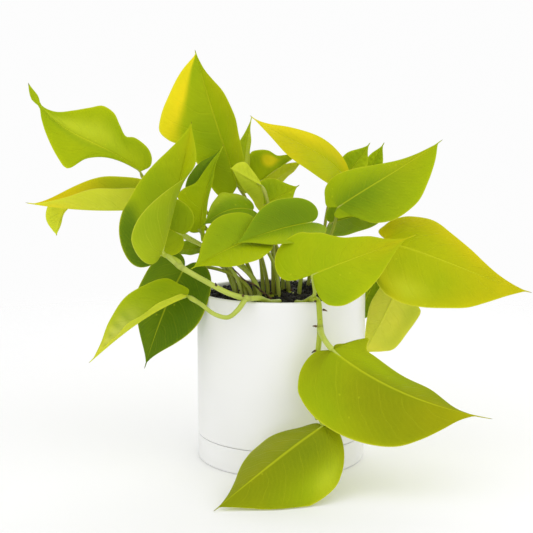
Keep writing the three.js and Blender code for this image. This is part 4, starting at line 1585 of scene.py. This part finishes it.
def baked(name: str, source: bpy.types.Object, tree: bpy.types.NodeTree, inputs: dict) -> bpy.types.Object:
    """Runs a Geometry Nodes tree on an object, and keeps the result as a plain piece.

    Args:
        name: The piece's name.
        source: The object that feeds the tree, which is removed.
        tree: The tree.
        inputs: A value for each of the tree's inputs by name.

    Returns:
        The piece.
    """
    modifier = source.modifiers.new("made", "NODES")
    modifier.node_group = tree
    for item in tree.interface.items_tree:
        if item.in_out == "INPUT" and item.name in inputs:
            modifier[item.identifier] = inputs[item.name]
    source.update_tag()
    bpy.context.view_layer.update()
    graph = bpy.context.evaluated_depsgraph_get()
    mesh = bpy.data.meshes.new_from_object(source.evaluated_get(graph), depsgraph=graph)
    mesh.name = name
    bpy.data.objects.remove(source)
    return linked(name, mesh)


@cache
def stem_tree() -> bpy.types.NodeTree:
    """The tree that turns lines with a radius at each point into closed tubes.

    Returns:
        The tree, made the first time that it is asked for.
    """
    sketch = new_group("grown stems", {"Sides": "Int"})
    line = sketch.get("GeometryNodeMeshToCurve", {"Mesh": sketch.given["Geometry"]})
    circle = {"Resolution": sketch.given["Sides"], "Radius": 1.0}
    ring = sketch.get("GeometryNodeCurvePrimitiveCircle", circle)
    girth = sketch.get("GeometryNodeInputNamedAttribute", {"Name": "girth"}, data_type="FLOAT")
    sweep = {"Curve": line, "Profile Curve": ring, "Scale": girth, "Fill Caps": True}
    tube = sketch.get("GeometryNodeCurveToMesh", sweep)
    return sketch.finished(sketch.get("GeometryNodeSetShadeSmooth", {"Geometry": tube}))


@dataclass
class StemBuilder:
    """Builds a stem's tubes from strands, through one Geometry Nodes tree.

    Attributes:
        sides: Sides of each tube.
        steps: Steps between the points of a vine.
    """

    sides: int = 14
    steps: int = 9

    def curve(self, places: tuple[Place, ...]) -> np.ndarray:
        """A smooth line through places in the foliage."""
        return catmull(np.array([in_foliage(place) for place in places]), self.steps)

    def lines(self, name: str, strands: list[Strand]) -> bpy.types.Object:
        """An object of bare lines that carries the strands' radii and tones.

        Args:
            name: The object's name.
            strands: The strands.

        Returns:
            The object.
        """
        points = np.vstack([strand.points for strand in strands])
        radii = np.concatenate([strand.radii for strand in strands]).astype(np.float32) * MM
        tones = np.vstack([strand.tones for strand in strands])
        colours = np.hstack([tones, np.ones((len(tones), 1))]).astype(np.float32)
        edges, first = [], 0
        for strand in strands:
            edges += [(first + i, first + i + 1) for i in range(len(strand.points) - 1)]
            first += len(strand.points)
        mesh = bpy.data.meshes.new(name)
        mesh.from_pydata((points * MM).tolist(), edges, [])
        mesh.attributes.new("girth", "FLOAT", "POINT").data.foreach_set("value", radii)
        mesh.attributes.new("tint", "FLOAT_COLOR", "POINT").data.foreach_set("color", colours.ravel())
        return linked(name, mesh)

    def swept(self, name: str, strands: list[Strand], skin: bpy.types.Material) -> bpy.types.Object:
        """The tubes as one plain mesh.

        Args:
            name: The piece's name.
            strands: The strands.
            skin: The tubes' material.

        Returns:
            The piece.
        """
        source = self.lines(name + "_lines", strands)
        return baked(name, source, stem_tree(), {"Sides": self.sides, "Skin": skin})


@dataclass
class Stems:
    """All vines and stalks, and the brown nubs on them. Lengths are in millimetres.

    Attributes:
        vine_radius: Radius of a vine.
        node_swell: How much a vine swells where a stalk leaves it.
        node_reach: Half length of that swelling.
        scar_place: Distance of the brown ring scar from there.
        scar_reach: Half width of the scar.
        scar_share: How much of the brown it shows.
        bow: Handles of a plain stalk's line, from the vine and from the blade, in shares of its reach.
        bow_points: Points of that line.
        foot_reach: Share of a stalk over which its flared foot grows slim.
        joint: Where a stalk swells before its blade, and half the swelling's length, in stalk lengths.
        joint_swell: How much it swells there.
        under_blade: How far a stalk runs on under its blade, as the foot of the midrib.
        sunk: How far it lies there below the blade's middle.
        stub_radius: Radius of a cut stub.
        nub_length: Length of a root nub.
        nub_radius: Its radius.
        nub_droop: How far its tip hangs.
        twig_radius: Radius of the dry twig.
        twig_wobble: How far the twig strays from its line.
        builder: What makes the tubes.
    """

    vine_radius: float = 2.0
    node_swell: float = 0.45
    node_reach: float = 3.0
    scar_place: float = 2.5
    scar_reach: float = 1.1
    scar_share: float = 0.45
    bow: Pair = (0.4, 0.35)
    bow_points: int = 26
    foot_reach: float = 0.25
    joint: Pair = (0.93, 0.05)
    joint_swell: float = 0.3
    under_blade: float = 9.0
    sunk: float = 0.45
    stub_radius: float = 1.7
    nub_length: float = 3.4
    nub_radius: float = 0.85
    nub_droop: float = 0.8
    twig_radius: float = 0.9
    twig_wobble: float = 0.35
    builder: StemBuilder = field(default_factory=StemBuilder)

    def vine(self, stem: Stem) -> Strand:
        """The vine's own tube, swollen and scarred at its nodes.

        Args:
            stem: The stem.

        Returns:
            The strand.
        """
        points = self.builder.curve(stem.vine)
        radii = np.full(len(points), self.vine_radius)
        tones = np.broadcast_to(stem.tone.rgb, points.shape)
        for stalk in stem.stalks:
            apart = np.linalg.norm(points - in_foliage(stalk.start), axis=1)
            radii = radii + self.node_swell * bell(apart, self.node_reach)
            scar = self.scar_share * bell(apart, self.scar_reach, self.scar_place)
            tones = towards(tones, Tone.BARK, scar)
        ends = np.minimum(np.arange(len(points)), np.arange(len(points))[::-1])
        return Strand(points, radii * np.clip(0.55 + ends * 0.25, 0, 1), tones)

    def stalk_line(self, stalk: Stalk, midrib: Midrib) -> np.ndarray:
        """A stalk's centre line: through its own points, or in one bow where it has none.

        Args:
            stalk: The stalk.
            midrib: The midrib of its leaf.

        Returns:
            The line's points, from the vine to the blade.
        """
        start = in_foliage(stalk.start)
        end, along, _, up = (part[0] for part in midrib.station(np.array([0.0])))
        if stalk.via:
            places = np.array([start, *(in_foliage(place) for place in stalk.via), end])
            return catmull(places, self.builder.steps)
        arriving = unit(along * stalk.arrive[0] + up * stalk.arrive[1])
        reach = float(np.linalg.norm(end - start))
        leave = start + np.array([0, 0, reach * self.bow[0]])
        handles = np.array([start, leave, end - arriving * reach * self.bow[1], end])
        return bezier(handles, np.linspace(0, 1, self.bow_points)[:, None])

    def stalk(self, stalk: Stalk) -> Strand:
        """A stalk's tube: flared foot, slim middle, a swollen joint, and a fine end under the blade.

        Args:
            stalk: The stalk.

        Returns:
            The strand.
        """
        midrib = Midrib(next(blade for blade in BLADES if blade.name == stalk.leaf))
        points = self.stalk_line(stalk, midrib)
        share = np.linspace(0, 1, len(points))
        foot, slim = stalk.girth
        radii = slim + (foot - slim) * bell(share, self.foot_reach)
        radii = radii + self.joint_swell * bell(share, self.joint[1], self.joint[0])
        radii = radii * (1 - 0.45 * smooth_step(0.94, 1.0, share))
        onward = np.array([0.25, 0.5, 0.75, 1.0])
        beneath, _, _, lift = midrib.station(onward * self.under_blade / midrib.length)
        points = np.vstack([points, beneath - lift * self.sunk])
        radii = np.concatenate([radii, radii[-1] * (1 - onward * 0.8)])
        share = np.concatenate([share, np.ones(len(onward))])
        tones = np.broadcast_to(stalk.tone.rgb, points.shape)
        tones = towards(tones, Tone.CREAM, smooth_step(0.75, 1.0, share) * 0.25)
        # Painted shade: a plain stalk's foot is darkened towards brown near the soil, where it lies in shade
        # in the planter.
        if not stalk.via:
            tones = towards(tones, Tone.BARK, 0.5 * smooth_step(0.18, 0.0, share))
        return Strand(points, radii, tones)

    def nub(self, place: Place, way: Place) -> Strand:
        """A short brown root nub.

        Args:
            place: Its foot.
            way: The way that it points.

        Returns:
            The strand.
        """
        foot, way = in_foliage(place), unit(np.array(way, float))
        share = np.linspace(0, 1, 5)
        droop = np.array([0, 0, -1.0]) * (share**2 * self.nub_droop)[:, None]
        points = foot + way * (share * self.nub_length)[:, None] + droop
        return Strand.plain(points, self.nub_radius * (1 - share**1.5 * 0.75), Tone.BARK)

    def twig(self) -> Strand:
        """The thin dead twig that leans out of the soil.

        Returns:
            The strand.
        """
        points = self.builder.curve(TWIG)
        share = np.linspace(0, 1, len(points))
        wobble = np.stack([np.sin(share * 19), np.cos(share * 23), np.sin(share * 17)], 1)
        radii = self.twig_radius * (1 - share / 2)
        return Strand.plain(points + wobble * self.twig_wobble, radii, Tone.BARK)

    def build(self) -> None:
        """Makes every stem and its nubs."""
        skin, bark = STEM_SKIN.build(), DRY_BARK.build()
        for stem in STEMS:
            strands = [self.vine(stem), *(self.stalk(stalk) for stalk in stem.stalks)]
            if stem.stub:
                line = self.builder.curve(stem.stub)
                radii = self.stub_radius * np.linspace(1, 0.7, len(line))
                strands.append(Strand.plain(line, radii, Tone.GRASS))
            settle(self.builder.swept(stem.name + "_skin", strands, skin), stem.name)
        nubs = [self.nub(place, way) for stem in STEMS for place, way in stem.nubs]
        settle(self.builder.swept("root_nubs", nubs, bark), None)
        settle(self.builder.swept("dry_twig", [self.twig()], bark), None)


@dataclass
class Foliage:
    """All leaves."""

    def build(self) -> None:
        """Makes every leaf and stands it for its solid."""
        skins = UPPER_SKIN.build(), UNDER_SKIN.build()
        for blade in BLADES:
            mesh = LeafShape(blade).build()
            for skin in skins:
                mesh.materials.append(skin)
            settle(linked(blade.name + "_blade", mesh), blade.name)


@dataclass
class Lathe:
    """Turns a closed profile into a round body, through a Geometry Nodes tree.

    Attributes:
        segments: Steps round the axis.
        joint: Distance in metres under which points are joined.
        crease: Angle in degrees from which an edge is sharp.
    """

    segments: int = 160
    joint: float = 1e-6
    crease: float = 35.0

    def tree(self) -> bpy.types.NodeTree:
        """The tree: one row of points for each point of the profile, set round the axis.

        Returns:
            The tree.
        """
        sketch = new_group("turned body", {"Rows": "Int", "Segments": "Int"})
        given = sketch.given
        columns = sketch.maths("ADD", given["Segments"], 1.0)
        sizes = {"Vertices X": given["Rows"], "Vertices Y": columns}
        grid = sketch.get("GeometryNodeMeshGrid", sizes)
        index = sketch.get("GeometryNodeInputIndex")
        row = sketch.maths("FLOOR", sketch.maths("DIVIDE", sketch.maths("ADD", index, 0.5), columns))
        column = sketch.maths("SUBTRACT", index, sketch.times(row, columns))
        turn = sketch.maths("DIVIDE", sketch.times(column, 2 * math.pi), given["Segments"])
        place = sketch.get("GeometryNodeInputPosition")
        sockets = {"Geometry": given["Geometry"], "Value": place, "Index": row}
        spot = sketch.get("GeometryNodeSampleIndex", sockets, data_type="FLOAT_VECTOR", domain="POINT")
        parts = sketch.add("ShaderNodeSeparateXYZ", {0: spot}).outputs
        across = sketch.times(parts[0], sketch.maths("COSINE", turn))
        back = sketch.times(parts[0], sketch.maths("SINE", turn))
        place = sketch.get("ShaderNodeCombineXYZ", {"X": across, "Y": back, "Z": parts[2]})
        moved = sketch.get("GeometryNodeSetPosition", {"Geometry": grid, "Position": place})
        merged = sketch.get("GeometryNodeMergeByDistance", {"Geometry": moved, "Distance": self.joint})
        return sketch.finished(sketch.get("GeometryNodeSetShadeSmooth", {"Geometry": merged}))

    def turned(self, name: str, profile: list[Pair], skin: bpy.types.Material) -> bpy.types.Object:
        """The turned body.

        Args:
            name: The piece's name.
            profile: (radius, height) pairs in millimetres. The last joins the first, or both are on the axis.
            skin: Its material.

        Returns:
            The piece.
        """
        mesh = bpy.data.meshes.new(name + "_profile")
        mesh.from_pydata([(r * MM, 0, z * MM) for r, z in profile], [], [])
        inputs = {"Rows": len(profile), "Segments": self.segments, "Skin": skin}
        piece = baked(name, linked(name + "_profile", mesh), self.tree(), inputs)
        tidied(piece.data, self.joint, outwards=True)
        piece.data.set_sharp_from_angle(angle=math.radians(self.crease))
        return piece


@dataclass
class Planter:
    """The planter and its flush saucer, both turned. Their overall sizes come from the frame.

    Attributes:
        wall: Thickness of the planter's wall.
        floor: Thickness of its floor.
        lip: Radius of the rim's rounding.
        edge: Radius of the other edges' rounding.
        drain: Radius of the drain hole.
        saucer_wall: Thickness of the saucer's wall.
        saucer_floor: Thickness of its floor.
        foot: Radius of the saucer's lower rounding.
        fit: Gap between planter and saucer.
        band: Width of the narrow band beside each rounding, which keeps its shading even.
        arc: Steps in each rounding.
    """

    wall: float = 3.6
    floor: float = 4.0
    lip: float = 1.2
    edge: float = 0.5
    drain: float = 7.0
    saucer_wall: float = 3.4
    saucer_floor: float = 3.0
    foot: float = 2.0
    fit: float = 0.4
    band: float = 1.5
    arc: int = 6

    def rounding(self, radius: float, height: float, size: float, start: float, end: float) -> list[Pair]:
        """Points of a rounded edge.

        Args:
            radius: Distance of its centre from the axis.
            height: Height of its centre.
            size: Its radius.
            start: First angle in degrees.
            end: Last angle in degrees.

        Returns:
            (radius, height) pairs.
        """
        angles = np.radians(np.linspace(start, end, self.arc + 1))
        return [(radius + size * math.cos(a), height + size * math.sin(a)) for a in angles]

    def pot(self, radius: float, top: float, step: float) -> list[Pair]:
        """The planter's profile.

        Args:
            radius: Its outer radius.
            top: Height of its rim.
            step: Height of the saucer's rim.

        Returns:
            (radius, height) pairs.
        """
        low, shoulder = self.saucer_floor + self.fit, step + self.fit
        inner, foot = radius - self.wall, radius - self.saucer_wall - self.fit
        foot_inner = foot - self.wall
        edge, lip, band = self.edge, self.lip, self.band
        return [
            (self.drain, low), (foot - edge, low), (foot, low + edge), (foot, shoulder),
            (radius - edge - band, shoulder),
            *self.rounding(radius - edge, shoulder + edge, edge, -90, 0),
            (radius, shoulder + edge + band), (radius, top - lip - band),
            *self.rounding(radius - lip, top - lip, lip, 0, 90),
            *self.rounding(inner + lip, top - lip, lip, 90, 180),
            (inner, top - lip - band), (inner, shoulder + self.wall), (foot_inner, shoulder),
            (foot_inner, low + self.floor), (self.drain, low + self.floor), (self.drain, low),
        ]

    def saucer(self, radius: float, step: float) -> list[Pair]:
        """The saucer's profile.

        Args:
            radius: Its outer radius.
            step: Height of its rim.

        Returns:
            (radius, height) pairs.
        """
        hollow = radius - self.saucer_wall
        edge, foot, band = self.edge, self.foot, self.band
        return [
            (0, 0), (radius - foot - band, 0),
            *self.rounding(radius - foot, foot, foot, -90, 0),
            (radius, foot + band), (radius, step - edge - band),
            *self.rounding(radius - edge, step - edge, edge, 0, 90),
            (hollow, step), (hollow, self.saucer_floor), (0, self.saucer_floor),
        ]

    def build(self) -> None:
        """Makes the planter and the saucer."""
        skin = WHITE_PLASTIC.build()
        lathe = Lathe()
        radius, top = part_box("pot")[1].x / MM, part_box("pot")[1].z / MM
        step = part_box("saucer")[1].z / MM
        settle(lathe.turned("planter_wall", self.pot(radius, top, step), skin), "pot")
        settle(lathe.turned("planter_saucer", self.saucer(radius, step), skin), "saucer")


@dataclass
class Soil:
    """The potting mix: the solid itself with a mix finish, and loose crumbs scattered on its top.

    Attributes:
        crumb: Radius of a crumb.
        chip: Size of a bark chip, in crumbs.
        density: Crumbs to the square metre.
        chips: Bark chips to the square metre.
        seed: Seed of the scatter.
        dent: How far a crumb's surface is pushed about, in metres.
        edge: Height of the uneven top over the solid at the wall.
        heap: How much higher it lies at the back.
        rough: Height of its unevenness.
        grain: Scale of its unevenness.
        fit: Gap to the wall.
        depth: Depth of the uneven top's skirt, down into the solid.
        rings: Rings of its mesh.
        sectors: Sectors of its mesh.
    """

    crumb: float = 1.1
    chip: float = 2.3
    density: float = 190000.0
    chips: float = 22000.0
    seed: int = 11
    dent: float = 0.003
    edge: float = 0.8
    heap: float = 7.0
    rough: float = 1.2
    grain: float = 130.0
    fit: float = 0.2
    depth: float = 3.0
    rings: int = 40
    sectors: int = 120

    def scatter_tree(self) -> bpy.types.NodeTree:
        """The tree that scatters crumbs and chips over a surface.

        Returns:
            The tree.
        """
        inputs = {"Crumb": "Float", "Density": "Float", "Chips": "Float", "Seed": "Int"}
        sketch = new_group("scattered crumbs", inputs)
        given = sketch.given
        joined = sketch.add("GeometryNodeJoinGeometry")
        for density, detail, size, offset in (("Density", 1, 1.0, 0.0), ("Chips", 2, self.chip, 5.0)):
            seed = sketch.maths("ADD", given["Seed"], offset)
            spread = {"Mesh": given["Geometry"], "Density": given[density], "Seed": seed}
            spots = sketch.get("GeometryNodeDistributePointsOnFaces", spread)
            radius = sketch.times(given["Crumb"], size)
            ball = sketch.get("GeometryNodeMeshIcoSphere", {"Radius": radius, "Subdivisions": detail})
            bent = sketch.add("ShaderNodeTexNoise", {"Scale": 380.0}).outputs[1]
            bent = sketch.get("ShaderNodeVectorMath", {0: bent, 1: (0.5, 0.5, 0.5)}, operation="SUBTRACT")
            push = sketch.get("ShaderNodeVectorMath", {0: bent, "Scale": self.dent}, operation="SCALE")
            lump = sketch.get("GeometryNodeSetPosition", {"Geometry": ball, "Offset": push})
            turn, girth = (
                sketch.get(
                    "FunctionNodeRandomValue", {0: least, 1: most, "Seed": seed}, data_type="FLOAT_VECTOR"
                )
                for least, most in (((0, 0, 0), (6.28, 6.28, 6.28)), ((0.5, 0.5, 0.3), (1.5, 1.2, 0.8)))
            )
            sockets = {"Points": spots, "Instance": lump, "Rotation": turn, "Scale": girth}
            sketch.feed(joined.inputs[0], sketch.get("GeometryNodeInstanceOnPoints", sockets))
        return sketch.finished(joined.outputs[0])

    def bed(self) -> bpy.types.Mesh:
        """The soil's uneven top as a closed lens over the solid: low at the front, heaped towards the back.

        Returns:
            The mesh.
        """
        top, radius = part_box("soil")[1].z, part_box("soil")[1].x - self.fit * MM
        shaper = bmesh.new()
        bmesh.ops.create_circle(shaper, segments=self.sectors, radius=radius)
        middle = shaper.verts.new((0, 0, 0))
        rows = [list(shaper.verts)[: self.sectors]]
        for ring in range(1, self.rings):
            rows.append([shaper.verts.new(vert.co * (1 - ring / self.rings)) for vert in rows[0]])
        pairs = [(i, (i + 1) % self.sectors) for i in range(self.sectors)]
        for outer, inner in zip(rows, rows[1:]):
            for i, j in pairs:
                shaper.faces.new((outer[i], outer[j], inner[j], inner[i]))
        for i, j in pairs:
            shaper.faces.new((rows[-1][i], rows[-1][j], middle))
        for vert in shaper.verts:
            out = vert.co.length / radius
            rough = noise.fractal(vert.co * self.grain, 1.0, 2.0, 4) * self.rough * MM
            heap = self.heap * MM * (0.5 + 0.5 * vert.co.y / radius) * (1 - out**8)
            vert.co.z = top + self.edge * MM + heap + rough * (1 - out**6)
        down = Vector((0, 0, self.depth * MM))
        rim = shaper.faces.new([shaper.verts.new(vert.co - down) for vert in rows[0]])
        for i, j in pairs:
            shaper.faces.new((rows[0][i], rim.verts[i], rim.verts[j], rows[0][j]))
        bmesh.ops.recalc_face_normals(shaper, faces=shaper.faces)
        mesh = bpy.data.meshes.new("soil_bed")
        shaper.to_mesh(mesh)
        shaper.free()
        mesh.shade_smooth()
        return mesh

    def build(self, frame: dict) -> None:
        """Dresses the soil's solid, and makes its uneven top and the crumbs on it.

        Args:
            frame: The loaded frame.
        """
        skin = POTTING_MIX.build()
        for slot in frame["nodes"]["soil"].material_slots:
            slot.material = skin
        mesh = self.bed()
        mesh.materials.append(skin)
        settle(linked("soil_bed", mesh), None)
        inputs = {
            "Crumb": self.crumb * MM, "Density": self.density, "Chips": self.chips, "Seed": self.seed,
            "Skin": skin,
        }
        piece = baked("soil_crumbs", linked("crumb_bed", mesh.copy()), self.scatter_tree(), inputs)
        settle(piece, None)


@dataclass(frozen=True)
class Lamp:
    """A square soft lamp.

    Attributes:
        name: Its name.
        place: Its place in metres.
        size: Its side in metres.
        power: Its power in watts.
    """

    name: str
    place: Place
    size: float
    power: float

    def build(self, aim: Place) -> None:
        """Makes the lamp.

        Args:
            aim: The place that it looks at.
        """
        light = bpy.data.lights.new(self.name, "AREA")
        light.size, light.energy = self.size, self.power
        made = linked(self.name, light)
        made.location = self.place
        made.rotation_euler = (Vector(aim) - Vector(self.place)).to_track_quat("-Z", "Y").to_euler()


@dataclass
class Studio:
    """The white floor, the soft light and the camera.

    Attributes:
        camera: Place of the camera, in metres.
        pitch: Angle of the camera below level, in degrees.
        lens: Focal length for a sensor 36 mm wide.
        white: Brightness of the backdrop that the camera sees.
        fill: Brightness of the light from all round.
        lamps: The lamps.
        aim: The place that they look at.
        floor_radius: Radius of the floor.
        floor_fade: Distances from the plant where the floor is gone, and where it begins to fade.
        floor_white: Brightness of the floor's own white.
    """

    camera: Place = (-0.0113, -0.810, 0.2515)
    pitch: float = 7.27
    lens: float = 71.32
    white: float = 0.98
    fill: float = 0.84
    lamps: tuple[Lamp, ...] = (
        Lamp("key", (-0.25, -1.0, 0.95), 2.2, 6.9),
        Lamp("side", (0.95, -0.55, 0.8), 1.0, 1.8),
        Lamp("back", (0.1, 1.0, 0.9), 1.0, 2.5),
    )
    aim: Place = (0.0, 0.0, 0.14)
    floor_radius: float = 3.0
    floor_fade: Pair = (1.0, 0.34)
    floor_white: float = 0.95

    def build(self) -> None:
        """Makes the floor, world, lamps and camera."""
        self.make_floor()
        self.make_world()
        for lamp in self.lamps:
            lamp.build(self.aim)
        self.make_camera()
        bpy.context.scene.view_settings.view_transform = "Standard"

    def make_camera(self) -> None:
        """The camera in front of the plant, level with its leaves."""
        lens = bpy.data.cameras.new("camera")
        lens.lens, lens.sensor_width, lens.sensor_fit = self.lens, 36.0, "HORIZONTAL"
        lens.clip_start = 0.01
        made = linked("camera", lens)
        made.location = self.camera
        made.rotation_euler = (math.radians(90 - self.pitch), 0, 0)
        bpy.context.scene.camera = made

    def make_floor(self) -> None:
        """A large white floor that fades into the backdrop far from the plant."""
        bed = bmesh.new()
        bmesh.ops.create_circle(bed, cap_ends=True, segments=96, radius=self.floor_radius)
        mesh = bpy.data.meshes.new("floor")
        bed.to_mesh(mesh)
        bed.free()
        floor = linked("floor", mesh)
        material = bpy.data.materials.new("white floor")
        material.use_nodes = True
        sketch = Sketch(material.node_tree)
        shader = material.node_tree.nodes["Principled BSDF"].inputs
        shader["Base Color"].default_value = (*[self.floor_white] * 3, 1)
        shader["Roughness"].default_value = 0.8
        place = sketch.add("ShaderNodeTexCoord").outputs["Object"]
        apart = sketch.add("ShaderNodeVectorMath", {0: place}, operation="LENGTH").outputs["Value"]
        sketch.feed(shader["Alpha"], sketch.step(apart, *self.floor_fade))
        mesh.materials.append(material)

    def make_world(self) -> None:
        """Even white light from all round, with its own brightness where the camera sees it."""
        world = bpy.data.worlds.new("white room")
        world.use_nodes = True
        bpy.context.scene.world = world
        sketch = Sketch(world.node_tree)
        seen = sketch.add("ShaderNodeLightPath").outputs["Is Camera Ray"]
        ground = world.node_tree.nodes["Background"]
        ground.inputs["Color"].default_value = (1, 1, 1, 1)
        span = self.white - self.fill
        sketch.feed(ground.inputs["Strength"], sketch.maths("MULTIPLY_ADD", seen, span, self.fill))


def main() -> None:
    """Loads the frame, and builds and dresses every piece on it."""
    logging.basicConfig(level=logging.INFO, format="%(message)s")
    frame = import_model()
    Studio().build()
    Planter().build()
    Soil().build(frame)
    Foliage().build()
    Stems().build()


if __name__ == "__main__":
    main()
